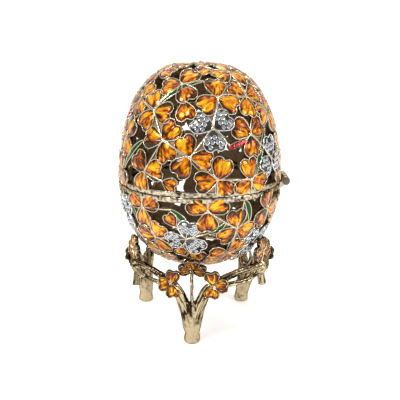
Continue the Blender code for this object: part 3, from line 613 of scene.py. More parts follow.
def smooth_path(corners, samples):
    """An open smooth curve through corners."""
    points = np.asarray(corners, float)
    padded = np.concatenate([2 * points[:1] - points[1:2], points, 2 * points[-1:] - points[-2:-1]])
    share = (np.arange(samples) / samples)[None, :, None]
    curve = bend_between(*(padded[i : len(padded) - 3 + i, None] for i in range(4)), share)
    return np.concatenate([curve.reshape(-1, points.shape[1]), points[-1:]])


def bend_between(before, here, after, beyond, share):
    """Points of a smooth curve between two corners, given their neighbours."""
    pull = after - before
    cubic = 3 * here - 3 * after + beyond - before
    square = 2 * before - 5 * here + 4 * after - beyond
    return 0.5 * (2 * here + pull * share + square * share**2 + cubic * share**3)


def circle(right, up, sides, turn=0.0):
    """Directions round a circle, from two of them at right angles."""
    angles = np.arange(sides)[:, None] * math.tau / sides + turn
    return np.cos(angles) * np.array(right) + np.sin(angles) * np.array(up)


def tube_rings(points, radii, sides=WIRE_SIDES, flat_start=False):
    """Rings of a round bar along points."""
    points = [Vector(point) for point in points]
    last = len(points) - 1
    ahead = [(points[min(i + 1, last)] - points[max(i - 1, 0)]).normalized() for i in range(last + 1)]
    if flat_start:
        ahead[0] = Vector((0, 0, 1))
    across = ahead[0].orthogonal().normalized()
    rings = []
    for point, way, radius in zip(points, ahead, radii):
        across = (across - way * across.dot(way)).normalized()
        rings.append(np.array(point) + circle(across, way.cross(across), sides) * radius)
    return rings


# Leaf cells: a raised wire round a dome of enamel

def leaf_outline(length, width):
    """Smooth outline of a leaf in its own plane, anticlockwise, with its outward directions."""
    half = [(u * length, -v * width / 2) for u, v in HEART]
    corners = half + [(u, -v) for u, v in reversed(half[1:-1])]
    outline = smooth_loop(corners, LEAF_SAMPLES)
    way = np.roll(outline, -1, 0) - np.roll(outline, 1, 0)
    outward = np.stack([way[:, 1], -way[:, 0]], -1)
    return outline, outward / np.linalg.norm(outward, axis=1)[:, None]


def wire_rings(outline, outward, place, low, width, top, shoulder):
    """Rings of a raised wire along an outline, from its outer foot over its top to its inner foot."""
    rise = [(1, low), (1, shoulder), (WIRE_CREST[0], top * WIRE_CREST[1])]
    section = [*rise, (0, top), *((-out, lift) for out, lift in reversed(rise))]
    rings = [place(outline + outward * width * out, lift) for out, lift in section]
    return rings, patina_and_shade([lift for _, lift in section])


def patina_and_shade(lifts):
    """How dark the metal is at each height over the wall, patina with painted shade: 1 deep down, 0 on the
    tops.
    """
    return np.clip((PATINA_AND_SHADE_TOP - np.array(lifts)) / PATINA_AND_SHADE_DEPTH, 0, 1)[:, None]


def enamel_rings(outline, outward, place, inset, dome, crease, chance):
    """Rings of a dome of enamel with a crease along its middle and faint veins, and their marks."""
    border = outline - outward * inset
    length, half = outline.max(axis=0)
    middle = np.array([length * ENAMEL_MIDDLE, 0.0])
    rings, leaf = [], []
    for number, share in enumerate(ENAMEL_RINGS):
        flat = middle + (border - middle) * share
        angle = np.arctan2(flat[:, 1], flat[:, 0] + length * VEIN_ROOT)
        sway = VEIN_SWAY * np.sin(angle * VEIN_SWAYS + chance * SWAY_SHIFT)
        vein = np.sin(angle * VEINS + chance * VEIN_SHIFT + sway)
        fold = np.exp(-((flat[:, 1] / (half * CREASE_WIDTH)) ** 2)) * crease
        lift = (1 - share**ENAMEL_ROUNDING) * (dome - fold + vein * dome * VEIN_HEIGHT)
        rings.append(place(flat, lift if number > 0 else np.full(len(flat), WEB_LEVEL)))
        leaf.append(np.column_stack([flat[:, 0] / length, flat[:, 1] / half, np.full(len(flat), chance)]))
    return rings, np.array(leaf), np.array(ENAMEL_RINGS)[:, None]


def cut_stone(bag, centre, right, up, radius, height, low=0.0, turn=0.0):
    """A round cut stone: a low girdle, a sloping crown and a flat table."""
    outward = np.cross(right, up)
    corners = circle(right, up, CUT_SIDES, turn)
    middles = (corners + np.roll(corners, -1, 0)) / 2
    rings = []
    for around, (share, rise) in zip((corners, corners, middles), CUT):
        rings.append(centre + around * radius * share + outward * (low + (height - low) * rise))
    bag.stack(rings)


def collar(bag, centre, right, up, radius, sides, section):
    """A ring of metal round a stone."""
    outward = np.cross(right, up)
    around = circle(right, up, sides)
    rings = [centre + around * radius * out + outward * lift * MM for out, lift, _ in section]
    bag.stack(rings, edge=[[dark] for *_, dark in section], loop=True)


def half_widths(points, width, taper):
    """Steps sideways from the middle of a tapered strip on the egg to its edge."""
    here = np.arange(len(points))
    way = points[np.minimum(here + 1, here[-1])] - points[np.maximum(here - 1, 0)]
    across = np.cross(points - np.array([0, 0, WIDEST]), way)
    half = width / 2 * (taper + (1 - taper) * np.sin(math.pi * here / here[-1]))
    return across / np.linalg.norm(across, axis=1)[:, None] * half[:, None]


def on_map(away, azimuth):
    """Corners on a flat map of one half of the egg, with its pole in the middle."""
    return [Vector((d * math.sin(a), -d * math.cos(a))) for d, a in zip(away, azimuth)]


# The two shells

class Shell:
    """One half of the egg: its layout, its surface and the pieces it is made of."""

    def __init__(self, name, from_top, pave, blades, seed):
        self.name = name
        self.from_top = from_top
        self.rim_along = SEAM_ALONG - GAP / 2 if from_top else SEAM_ALONG + GAP / 2
        self.rim_away = self.flipped(self.rim_along)
        self.curves = [arc_points(three, BLADE_POINTS) for three in blades]
        self.rows = [stone_points(row) for row in RED_ROWS] if from_top else []
        low, high = (0.0, self.rim_along) if from_top else (self.rim_along, LENGTH)
        spots = [(p, BLADE_WIDTH / 2) for curve in self.curves for p in curve]
        spots += [(p, STONE_RADIUS * 2) for row in self.rows for p in row]
        obstacles = np.array([point for point, _ in spots])
        reach = np.array([size for _, size in spots])
        found = trefoils_between(low, high, pave, obstacles, reach, seed)
        self.along, self.azimuth, turn, self.loose = found
        self.hubs = on_egg(self.along, self.azimuth)
        self.arms = leaf_arms(self.along, self.azimuth, turn)
        self.normals = np.cross(*directions_at(self.along, self.azimuth))
        leaves = (self.hubs[:, None] + LEAF_CENTRE * self.arms).reshape(-1, 3)
        self.fillers = gap_leaves(self.hubs, leaves, obstacles, reach, low, high)
        self.chance = random.Random(seed + LOOKS_SEED_SHIFT)
        self.bags = {part: Bag() for part, _, _ in SHELL_PIECES}
        self.corners, self.patches = [], []

    def flipped(self, along):
        """Length from the half's own pole for a length along the wall, and the other way round."""
        return along if self.from_top else LENGTH - along

    def surface(self, points, lift):
        """Given points brought onto the wall and lifted, none past the rim."""
        along, azimuth = nearest(points, smooth=True)
        away = np.minimum(self.flipped(along), self.rim_away - RIM_MARGIN)
        return on_egg(self.flipped(away), azimuth, lift)

    def patch(self, points):
        """An outline of the dark wall behind the wires, kept on the flat map."""
        along, azimuth = nearest(points, smooth=True)
        flat = on_map(np.minimum(self.flipped(along), self.rim_away - RIM_HEIGHT / 2), azimuth)
        order = list(range(len(self.corners), len(self.corners) + len(flat)))
        self.patches.append(order if loop_area(flat) > 0 else order[::-1])
        self.corners += flat

    def leaf_frames(self):
        """Tip, directions and size of every leaf, and whether it holds enamel."""
        for hub, arms, normal, free in zip(self.hubs, self.arms, self.normals, self.loose):
            for arm in arms:
                yield hub, arm, np.cross(normal, arm), 1.0, bool(free)
        for start, ahead, across, size, _ in self.fillers:
            yield start, ahead, across, size, True

    def leaves(self):
        full, outward = leaf_outline(LEAF_LENGTH * LEAF_GROWTH, LEAF_WIDTH * LEAF_GROWTH)
        for start, ahead, across, size, free in self.leaf_frames():
            outline = full * size
            tilt = LEAF_TILT * self.chance.uniform(*TILTS) / (LEAF_LENGTH * size)
            lean = LEAF_TILT * self.chance.uniform(*LEANS) / LEAF_WIDTH
            shade = self.chance.random()

            def spot(flat):
                return start + flat[:, :1] * ahead + flat[:, 1:] * across

            def place(flat, lift):
                return self.surface(spot(flat), lift + flat[:, 0] * tilt + flat[:, 1] * lean)

            self.patch(spot(outline + outward * WIRE))
            rings, edge = wire_rings(outline, outward, place, WIRE_FOOT, WIRE, WIRE_TOP, WIRE_SHOULDER)
            self.bags["metal" if free else "settings"].stack(rings, edge=edge, loop=True)
            if free:
                facts = (WIRE + TRENCH, ENAMEL_DOME, ENAMEL_CREASE, shade)
                self.bags["enamel"].stack(*enamel_rings(outline, outward, place, *facts))
            else:
                self.set_stones(outline, outward, place)

    def set_stones(self, outline, outward, place):
        """A bed of clear stones with their collars in place of the enamel."""
        reach = outline[:, 0].max()
        border = outline - outward * WIRE * BED_INSET
        bed = (border, border, outline * BED_SHARE + np.array([reach * BED_SHIFT, 0]))
        rings = [place(flat, lift) for flat, lift in zip(bed, BED_LEVELS)]
        # The bed is dark under the stones: patina with painted shade
        self.bags["settings"].stack(rings, edge=[[0.0], [1.0], [1.0]])
        room = outline - outward * (WIRE + CLEAR_STONE_RADIUS * CLEAR_STONE_ROOM)
        step = CLEAR_STONE_SPACING
        rise = step * ROW_SHARE
        columns = range(-CLEAR_STONE_COLUMNS, CLEAR_STONE_COLUMNS + 1)
        rows = range(int(reach / rise) + 2)
        spots = np.array([(row * rise, (column + 0.5 * (row % 2)) * step)
                          for row in rows for column in columns])
        for spot in spots[inside(spots, room)]:
            size = CLEAR_STONE_RADIUS * self.chance.uniform(*CLEAR_STONE_SIZES)
            centre, ahead, aside = place(spot + np.array([(0, 0), (size, 0), (0, size)]), BED_LEVELS[-1])
            right = (ahead - centre) / np.linalg.norm(ahead - centre)
            outwards = np.cross(right, aside - centre)
            up = np.cross(outwards / np.linalg.norm(outwards), right)
            radius = size * CLEAR_STONE_SHARE
            turn = self.chance.uniform(0, 1)
            stones = self.bags["clear_stones"]
            cut_stone(stones, centre, right, up, radius, CLEAR_STONE_HEIGHT, CLEAR_STONE_SINK, turn)
            collar(self.bags["settings"], centre, right, up, size, COLLAR_SIDES, CLEAR_COLLAR)

    def stem(self, start, end, thick, thin, lift=0.0, count=9):
        """A round wire that follows the wall between two places."""
        path = self.surface(np.linspace(start, end, count), lift)
        self.bags["metal"].stack(tube_rings(path, np.linspace(thick, thin, count)), edge=STEM_SHADE)

    def stems(self):
        """Wires between hubs, to the rim and to the ends of blades and rows, with a star on each hub."""
        joins = [(self.hubs[i], self.hubs[j]) for i, j in stem_pairs(self.hubs)]
        joins += [(hub, start) for start, _, _, _, hub in self.fillers]
        for hub, length, angle in zip(self.hubs, self.along, self.azimuth):
            if abs(length - self.rim_along) < RIM_STEM_REACH:
                joins.append((hub, on_egg(np.array(self.rim_along), np.array(angle))))
        for curve in self.curves + self.rows:
            for end in (curve[0], curve[-1]):
                joins.append((end, self.hubs[np.linalg.norm(self.hubs - end, axis=1).argmin()]))
        thick = STEM_WIDTH * STEM_SHARE
        for start, end in joins:
            self.stem(start, end, thick, thick)
            self.strip(np.linspace(start, end, STEM_STEPS), STEM_WIDTH)
        for hub, arms, normal in zip(self.hubs, self.arms, self.normals):
            star = circle(arms[0], np.cross(normal, arms[0]), HUB_SIDES) * HUB_RADIUS
            self.patch(hub + star)
            rings = [self.surface(hub + star * out, lift * MM) for out, lift in HUB_SECTION]
            self.bags["metal"].stack(rings, edge=patina_and_shade([lift * MM for _, lift in HUB_SECTION]))
            for arm in arms:
                thick, thin = (STEM_WIDTH * share for share in RAY_SHARES)
                self.stem(hub, hub - arm * HUB_RADIUS * RAY_LENGTH, thick, thin, RAY_LIFT, STEM_STEPS)

    def strip(self, points, width, taper=1.0):
        """A patch of dark wall under a stem, blade or row."""
        step = half_widths(points, width, taper)
        self.patch(np.concatenate([points + step, (points - step)[::-1]]))

    def blade(self, curve):
        """A green blade between two raised wires."""
        curve = on_egg(*nearest(smooth_path(curve, BLADE_SAMPLES), smooth=True))
        step = half_widths(curve, BLADE_WIDTH, BLADE_TAPER)
        for side in (1, -1):
            path = self.surface(curve + step * side, BLADE_WIRE_LIFT)
            self.bags["metal"].stack(tube_rings(path, [WIRE] * len(curve)))
        shares, lifts = np.array(BLADE_SHARES)[:, None], np.array(BLADE_LIFTS) * MM
        rings = [self.surface(point + across * shares, lifts)[::-1] for point, across in zip(curve, step)]
        self.bags["blades"].stack(rings)
        self.strip(curve[::BLADE_STRIP_STEP], BLADE_WIDTH + WIRE * 2, BLADE_TAPER)

    def rim(self):
        """The hammered band along the seam."""
        side = -1 if self.from_top else 1
        azimuth = np.arange(RIM_COLUMNS) * math.tau / RIM_COLUMNS
        rings, edge = [], []
        for share, lift in [(0.0, -WALL), *((share, lift * MM) for share, lift in RIM_FACE), (1.0, -WALL)]:
            along = np.full(RIM_COLUMNS, self.rim_along + side * RIM_HEIGHT * share)
            dents = np.zeros(RIM_COLUMNS)
            # Patina with painted shade: dark on the hidden faces, and darker in the dents of the face
            dark = np.full(RIM_COLUMNS, HIDDEN_SHADE)
            if lift > 0:
                spots = on_egg(along, azimuth) / DENT_SPACING
                dents = np.array([noise.noise(Vector(spot)) for spot in spots]) * DENT_DEPTH
                dark = np.clip(RIM_SHADE - dents / DENT_SHADE, 0, 1)
            rings.append(on_egg(along, azimuth, lift + dents))
            edge.append(dark)
        if not self.from_top:
            rings, edge = rings[::-1], edge[::-1]
        self.bags["metal"].stack([ring[::-1] for ring in rings], edge=np.array(edge)[:, ::-1], loop=True)
        start = len(self.corners)
        turns = np.arange(RIM_SIDES) * math.tau / RIM_SIDES
        for away in (self.rim_away - RIM_HEIGHT, self.rim_away - RIM_INSET):
            self.corners += on_map(np.full(RIM_SIDES, away), turns)
        for number in range(RIM_SIDES):
            after = (number + 1) % RIM_SIDES
            inner, outer = start, start + RIM_SIDES
            self.patches.append([inner + number, outer + number, outer + after, inner + after])

    def web(self, look):
        """The dark wall behind the wires, its small gaps filled."""
        found, kept = covering(self.corners, self.patches)
        corners, patches = list(self.corners), list(self.patches)
        for loop in loops_of(kept):
            ring = [found[i] for i in loop]
            if -LEAST_HOLE < loop_area(ring) < 0:
                patches.append(list(range(len(corners), len(corners) + len(ring)))[::-1])
                corners += ring
        cells = int(self.rim_away / WEB_GRID) + 1
        steps = range(-cells, cells + 1)
        reach = self.rim_away - RIM_HEIGHT * WEB_CLEARANCE
        corners += [Vector((x * WEB_GRID, y * WEB_GRID)) for x in steps for y in steps
                    if math.hypot(x, y) * WEB_GRID < reach]
        found, kept = covering(corners, patches)
        used = sorted({i for face in kept for i in face})
        place = {old: new for new, old in enumerate(used)}
        faces = [[place[i] for i in face] for face in kept]
        flat = np.array([found[i] for i in used])
        along = self.flipped(np.hypot(flat[:, 0], flat[:, 1]))
        azimuth = np.arctan2(flat[:, 0], -flat[:, 1])
        if not self.from_top:
            faces = [face[::-1] for face in faces]
        count = len(used)
        sides = sides_of(faces)
        walls = [[b, a, a + count, b + count] for a, b in sides if (b, a) not in sides]
        behind = [[i + count for i in reversed(face)] for face in faces]
        bag = Bag()
        bag.faces = faces + behind + walls
        points = np.concatenate([on_egg(along, azimuth, lift) for lift in (WEB_LEVEL + WEB_RISE, -WALL)])
        bag.keep(points, np.zeros((2 * count, 3)), np.full(2 * count, WEB_SHADE))
        return bag.made(self.name + "_wall", look, WEB_SMOOTH)


def loop_area(loop):
    return sum(a.cross(b) for a, b in zip(loop, loop[1:] + loop[:1])) / 2


def sides_of(faces):
    """The directed sides of faces."""
    return {(a, b) for face in faces for a, b in zip(face, face[1:] + face[:1])}


def inside(spots, outline):
    """Which of the spots lie inside a closed outline."""
    start = np.array(outline)
    end = np.roll(start, -1, axis=0)
    found = np.zeros(len(spots), bool)
    for (ax, ay), (bx, by) in zip(start, end):
        if ay == by:
            continue
        level = (ay > spots[:, 1]) != (by > spots[:, 1])
        found ^= level & (spots[:, 0] < ax + (spots[:, 1] - ay) * (bx - ax) / (by - ay))
    return found


def covering(corners, faces):
    """The net of triangles over overlapping patches."""
    found, _, patches, _, _, _ = delaunay_2d_cdt(corners, [], faces, 1, SNAP)
    places = np.array(found)
    triangles = np.array(patches)
    middles = places[triangles].mean(axis=1)
    covered = np.zeros(len(patches), bool)
    for face in faces:
        outline = np.array([corners[i] for i in face])
        near = ~covered & (middles > outline.min(0)).all(1) & (middles < outline.max(0)).all(1)
        chosen = np.flatnonzero(near)
        covered[chosen[inside(middles[chosen], outline)]] = True
    return found, [patch for patch, wanted in zip(patches, covered) if wanted]


def loops_of(faces):
    """Closed loops round a net and its holes."""
    sides = sides_of(faces)
    after = {a: b for a, b in sides if (b, a) not in sides}
    loops = []
    while after:
        loop = [next(iter(after))]
        while loop[-1] in after:
            loop.append(after.pop(loop[-1]))
        loops.append(loop[:-1])
    return loops


# Looks

class Look:
    """A material and short ways to wire its nodes."""

    def __init__(self, name, colour, roughness, metallic, coat=0.0, tint=(1.0, 1.0, 1.0), specular=0.5):
        self.made = bpy.data.materials.new(name)
        self.made.use_nodes = True
        self.tree = self.made.node_tree
        self.shader = self.tree.nodes["Principled BSDF"]
        values = (("Base Color", (*colour, 1.0)), ("Roughness", roughness), ("Metallic", metallic),
                  ("Coat Weight", coat), ("Coat Roughness", 0.06), ("Specular Tint", (*tint, 1.0)),
                  ("Specular IOR Level", specular))
        for socket, value in values:
            self.shader.inputs[socket].default_value = value

    def node(self, kind, values=(), **settings):
        made = self.tree.nodes.new(kind)
        for name, value in settings.items():
            setattr(made, name, value)
        for socket, value in values:
            if isinstance(value, bpy.types.NodeSocket):
                self.tree.links.new(value, made.inputs[socket])
            else:
                made.inputs[socket].default_value = value
        return made

    def mark(self, name, output="Fac"):
        return self.node("ShaderNodeAttribute", attribute_name=name).outputs[output]

    def math(self, operation, *values):
        return self.node("ShaderNodeMath", enumerate(values), operation=operation).outputs[0]

    def line(self, value, gain, shift=0.0):
        """A value times a gain, with a shift added."""
        return self.math("MULTIPLY_ADD", value, gain, shift)

    def vector(self, *parts):
        return self.node("ShaderNodeCombineXYZ", enumerate(parts)).outputs[0]

    def noise(self, vector, scale, detail=3.0, distortion=0.0):
        values = [("Vector", vector), ("Scale", scale), ("Detail", detail), ("Distortion", distortion)]
        return self.node("ShaderNodeTexNoise", values).outputs["Fac"]

    def colour(self, value, stops):
        """Base colour from a ramp over a value."""
        made = self.node("ShaderNodeValToRGB", [("Fac", value)])
        ramp = made.color_ramp
        while len(ramp.elements) < len(stops):
            ramp.elements.new(0.5)
        for element, (place, colour) in zip(ramp.elements, stops):
            element.position = place
            element.color = (*colour, 1.0)
        self.tree.links.new(made.outputs["Color"], self.shader.inputs["Base Color"])

    def bump(self, height, strength, distance):
        values = (("Height", height), ("Strength", strength), ("Distance", distance))
        made = self.node("ShaderNodeBump", values)
        self.tree.links.new(made.outputs["Normal"], self.shader.inputs["Normal"])


def worn_and_shaded_metal(name, bright, dark, roughness, grain, relief=0.25):
    """Metal that is bright where it is raised and dark in its hollows, with patina and painted shade in the
    hollows.
    """
    look = Look(name, bright, roughness, 1.0, tint=tuple(share * 0.45 for share in bright))
    place = look.node("ShaderNodeTexCoord").outputs["Object"]
    cloud = look.line(look.noise(place, grain), 0.5, -0.25)
    middle = tuple((a + b) / 2 for a, b in zip(bright, dark))
    # Ramp from bright to dark by the edge mark (patina with painted shade), plus random tone
    look.colour(look.math("ADD", look.mark("edge"), cloud), ((0.12, bright), (0.5, middle), (0.85, dark)))
    look.bump(look.noise(place, grain * 2.5), relief, 0.1 * MM)
    return look.made


def enamel_look(name, stops, streaks):
    """Glossy enamel over foil, streaked from the tip of each leaf to its lobes and darker at its edge. Its
    bright streaks and dark swirls are painted highlights and shade of the crumpled foil.
    """
    look = Look(name, stops[0][1], 0.2, 0.35, 0.42, tint=(0.5, 0.25, 0.1), specular=0.35)
    parts = look.node("ShaderNodeSeparateXYZ", [("Vector", look.mark("leaf", "Vector"))])
    along, aside, chance = parts.outputs
    shift = look.line(chance, 31.0)
    ray = look.math("DIVIDE", aside, look.line(along, 1.0, 0.3))
    # Painted highlights and shade of the foil: streaks out from the tip, and swirling folds
    streak = look.noise(look.vector(ray, look.line(along, 0.45), shift), streaks, 5.0, 0.6)
    fold = look.noise(look.vector(aside, along, shift), 1.7, 2.5, 1.8)
    border = look.math("POWER", look.mark("edge"), 5.0)
    # Painted light and shade: one half of each leaf, picked by its chance, is lit brighter and the other darker
    half = look.math("SIGN", look.line(look.math("FRACT", look.line(chance, 7.3)), 1.0, -0.5))
    shade = ENAMEL_SHADE
    lit_and_shaded_halves = look.line(aside, half)
    for term, weight in ((streak, 2.2), (fold, 2.4), (border, 0.62), (lit_and_shaded_halves, 0.16), (chance, 0.2)):
        shade = look.line(term, weight, shade)
    look.colour(shade, stops)
    look.bump(look.math("ADD", streak, fold), 0.6, 0.3 * MM)
    return look.made


def looks():
    """All materials by a short name."""
    return {
        "gold": worn_and_shaded_metal("pale_gold", (0.58, 0.50, 0.36), (0.035, 0.016, 0.01), 0.24, 900.0),
        "silver": worn_and_shaded_metal("silver", (0.82, 0.82, 0.80), (0.09, 0.085, 0.08), 0.2, 900.0),
        "antique": worn_and_shaded_metal("antique_gold", (0.52, 0.42, 0.26), (0.028, 0.016, 0.008), 0.22, 500.0),
        "wall": worn_and_shaded_metal("brown_metal", (0.60, 0.43, 0.27), (0.14, 0.09, 0.05), 0.45, 500.0, 1.0),
        "steel": Look("dark_steel", (0.14, 0.12, 0.10), 0.4, 1.0).made,
        "amber": enamel_look("amber_enamel", (
            (0.0, (0.86, 0.47, 0.01)), (0.2, (0.72, 0.27, 0.003)), (0.44, (0.52, 0.10, 0.002)),
            (0.66, (0.15, 0.03, 0.003)), (0.82, (0.022, 0.016, 0.005))), 2.4),
        "brown_amber": enamel_look("brown_amber_enamel", (
            (0.0, (0.88, 0.52, 0.01)), (0.2, (0.62, 0.22, 0.003)), (0.42, (0.28, 0.055, 0.003)),
            (0.7, (0.11, 0.02, 0.004)), (0.9, (0.02, 0.01, 0.005))), 4.0),
        "green": Look("green_enamel", (0.003, 0.065, 0.016), 0.15, 0.1, 0.1, (0.25, 0.6, 0.35), 0.3).made,
        "clear": Look("clear_stone", (0.52, 0.54, 0.57), 0.06, 1.0, 0.3).made,
        "red": Look("red_stone", (0.72, 0.002, 0.018), 0.08, 0.5, 0.3, (0.8, 0.1, 0.1), 0.4).made,
    }


# The stand

def at(degrees, radius, height):
    """A point by its azimuth about the egg's axis."""
    angle = math.radians(degrees)
    return Vector((radius * math.sin(angle), -radius * math.cos(angle), height))


def around(degrees):
    """The rightward direction at an azimuth, seen from outside."""
    return Vector((math.cos(math.radians(degrees)), math.sin(math.radians(degrees)), 0))


def stand_point(degrees, out, up):
    """A point between the foot circle and the ring, and between the crotch's height and the ring's."""
    height = CROTCH_HEIGHT + (RING_HEIGHT - CROTCH_HEIGHT) * up
    return at(degrees, FOOT_CIRCLE + (RING_RADIUS - FOOT_CIRCLE) * out, height)


def cradle_frame(degrees, height):
    """Hub and directions of a trefoil that leans along the egg until its top meets it."""
    hub = at(degrees, radius_at(height) + CRADLE_STANDOFF, height)
    top = height + CHARM_LENGTH * CRADLE_REACH
    egg = radius_at(top) + CHARM_THICKNESS / 2 + CHARM_CROWN + GAP * 2
    up = (at(degrees, egg, top) - hub).normalized()
    return hub, around(degrees), up


def leaned(points):
    """Points of the stand moved towards -X: round the egg at all heights, across it only low down."""
    points = np.asarray(points, float)
    share = np.clip(1 - points[:, 2] / (CRADLE_HEIGHT - CHARM_WIDTH / 2), 0, None)
    away = np.hypot(points[:, 0], points[:, 1])
    sine, cosine = points[:, 0] / away, -points[:, 1] / away
    slide = -STAND_LEAN * cosine
    across = -STAND_LEAN * sine * share
    moved = (slide * cosine + across * sine, slide * sine - across * cosine, np.zeros(len(points)))
    return points + np.stack(moved, -1)


def bar(path, radius, shares):
    """Points of a bar with their radii."""
    return [(*point, radius * share) for point, share in zip(path, shares)]


def twig(degrees, side, table):
    """Corners of a bent twig to one side of an azimuth, with its radius at each."""
    path = [stand_point(degrees + side * aside, out, up) for aside, out, up, _ in table]
    return bar(path, TWIG_RADIUS, [share for *_, share in table])


def stand_bars():
    """Corners with radii of all bars of the stand, and the frames of its trefoils."""
    bars, charms = [], []
    way_out = RING_RADIUS - FOOT_CIRCLE
    for number in range(LEGS):
        degrees = number * 360 / LEGS
        path = [at(degrees, FOOT_CIRCLE + way_out * out, CROTCH_HEIGHT * up) for out, up, _ in TRUNK]
        bars.append(bar(path, FOOT_RADIUS, [share for *_, share in TRUNK]))
        aside, out, up = BRANCH_CHARM
        for side in (-1, 1):
            bars += [twig(degrees, side, LIMB), twig(degrees, side, LOWER_TWIG)]
            hub = stand_point(degrees + side * aside, out, up)
            charms.append((hub, Vector((0, 0, -side)), around(degrees) * side))
        hub, right, upward = cradle_frame(degrees, CRADLE_HEIGHT)
        path = [stand_point(degrees, out, up) for out, up in CRADLE_STEM] + [hub - upward * CHARM_HUB]
        bars.append(bar(path, STEM_RADIUS, CRADLE_STEM_RADII))
        charms.append((hub, right, upward))
        degrees += 180 / LEGS
        hub, right, upward = cradle_frame(degrees, CRADLE_HEIGHT + KNOT_RISE)
        middle = stand_point(degrees, 1.0, 1.0)
        path = (middle, (middle + hub) / 2, hub + upward * CHARM_HUB * 2)
        bars += [twig(degrees, 1, KNOT_LUMP), twig(degrees, 1, STUB), bar(path, TWIG_RADIUS, KNOT_STEM_RADII)]
        charms.append((hub, right, upward))
    return bars, charms


def bark(look):
    """The stand's bars merged and covered with grooves and pits."""
    bag = Bag()
    spots, facts = [], []
    for number, corners in enumerate(stand_bars()[0]):
        path = smooth_path(corners, BAR_SAMPLES)
        points = leaned(path[:, :3])
        bag.stack(tube_rings(points, path[:, 3], BAR_SIDES, flat_start=corners[0][2] == 0))
        ahead = np.gradient(points, axis=0)
        ahead /= np.linalg.norm(ahead, axis=1)[:, None]
        gone = np.concatenate([[0.0], np.cumsum(np.linalg.norm(np.diff(points, axis=0), axis=1))])
        for point, way, length in zip(points, ahead, gone):
            across = Vector(way).orthogonal().normalized()
            spots.append(Vector(point) + Vector((AXIS_X, 0, 0)))
            shift = Vector((0, 0, length / GROOVE_LENGTH + number * GROOVE_SHIFT))
            facts.append((across, Vector(way).cross(across), shift))
    rough = bag.made("stand_bars", look)
    join = rough.modifiers.new("join", "REMESH")
    join.mode = "VOXEL"
    join.voxel_size = STAND_VOXEL
    mesh = bpy.data.meshes.new_from_object(rough.evaluated_get(bpy.context.evaluated_depsgraph_get()))
    bpy.data.objects.remove(rough)
    nearest_bar = kdtree.KDTree(len(spots))
    for number, spot in enumerate(spots):
        nearest_bar.insert(spot, number)
    nearest_bar.balance()
    count = len(mesh.vertices)
    places, normals = np.empty(count * 3), np.empty(count * 3)
    mesh.vertices.foreach_get("co", places)
    mesh.vertices.foreach_get("normal", normals)
    places, normals = places.reshape(-1, 3), normals.reshape(-1, 3)
    relief = np.empty(count)
    for number in range(count):
        spot = Vector(places[number])
        found, index, _ = nearest_bar.find(spot)
        across, other, shift = facts[index]
        off = (spot - found).normalized()
        groove = noise.noise(Vector((off.dot(across), off.dot(other), 0)) * GROOVE_TURNS + shift)
        lump = noise.noise(spot / LUMP_SIZE)
        pit = noise.noise(spot / PIT_SIZE + Vector(PIT_SHIFT))
        depth = GROOVE_DEPTH * min(1.0, max(FOOT_GROOVE, (spot.z - PLAIN_FOOT) / PLAIN_FOOT))
        cut = depth * math.exp(-((groove / GROOVE_WIDTH) ** 2))
        relief[number] = LUMP_DEPTH * lump + PIT_DEPTH * pit - cut
    moved = places + normals * (relief * MM)[:, None]
    moved[:, 2] = np.where(places[:, 2] < FLAT_FOOT, places[:, 2], moved[:, 2]).clip(0, None)
    mesh.vertices.foreach_set("co", moved.ravel())
    # Patina with painted shade: darker the deeper the grooves and pits
    mark(mesh, "edge", np.clip(BARK_SHADE - relief / BARK_SHADE_DEPTH, 0, 1))
    mesh.materials.clear()
    mesh.materials.append(look)
    mesh.shade_smooth()
    return linked("stand_twigs", mesh)


def stand_charms(made):
    """The small trefoils of the stand: plate, raised wires and enamel."""
    metal, enamel = Bag(), Bag()
    outline, outward = leaf_outline(CHARM_LENGTH, CHARM_WIDTH)
    inner = outline - outward * CHARM_WIRE
    chance = random.Random(CHARM_SEED)
    half = CHARM_THICKNESS / 2
    top, shoulder = half + CHARM_WIRE_TOP, half + CHARM_WIRE_SHOULDER
    for hub, right, up in stand_bars()[1]:
        hub, right, up = (np.array(part) for part in (hub, right, up))
        normal = np.cross(right, up)
        for angle in (-CHARM_SPREAD, 0.0, CHARM_SPREAD):
            ahead = math.sin(angle) * right + math.cos(angle) * up
            across = np.cross(normal, ahead)
            start = hub - ahead * CHARM_HUB

            def place(flat, lift):
                lift = np.broadcast_to(lift, len(flat))
                return leaned(start + flat[:, :1] * ahead + flat[:, 1:] * across + lift[:, None] * normal)

            def place_enamel(flat, lift):
                return place(flat, lift + half - CHARM_PLATE)

            rings, _ = wire_rings(inner, outward, place, -half, CHARM_WIRE, top, shoulder)
            metal.stack(rings, edge=CHARM_EDGES, loop=True)
            metal.stack([place(inner, -half), place(inner, 0.0)], edge=CHARM_PLATE_SHADE)
            shade = CHARM_SHADES[0] + CHARM_SHADES[1] * chance.random()
            facts = (CHARM_INSET, CHARM_DOME, CHARM_CREASE, shade)
            enamel.stack(*enamel_rings(inner, outward, place_enamel, *facts))
    return [metal.made("stand_charms", made["antique"], 50),
            enamel.made("stand_enamel", made["brown_amber"], 60)]


# Hinge, plate and red stones

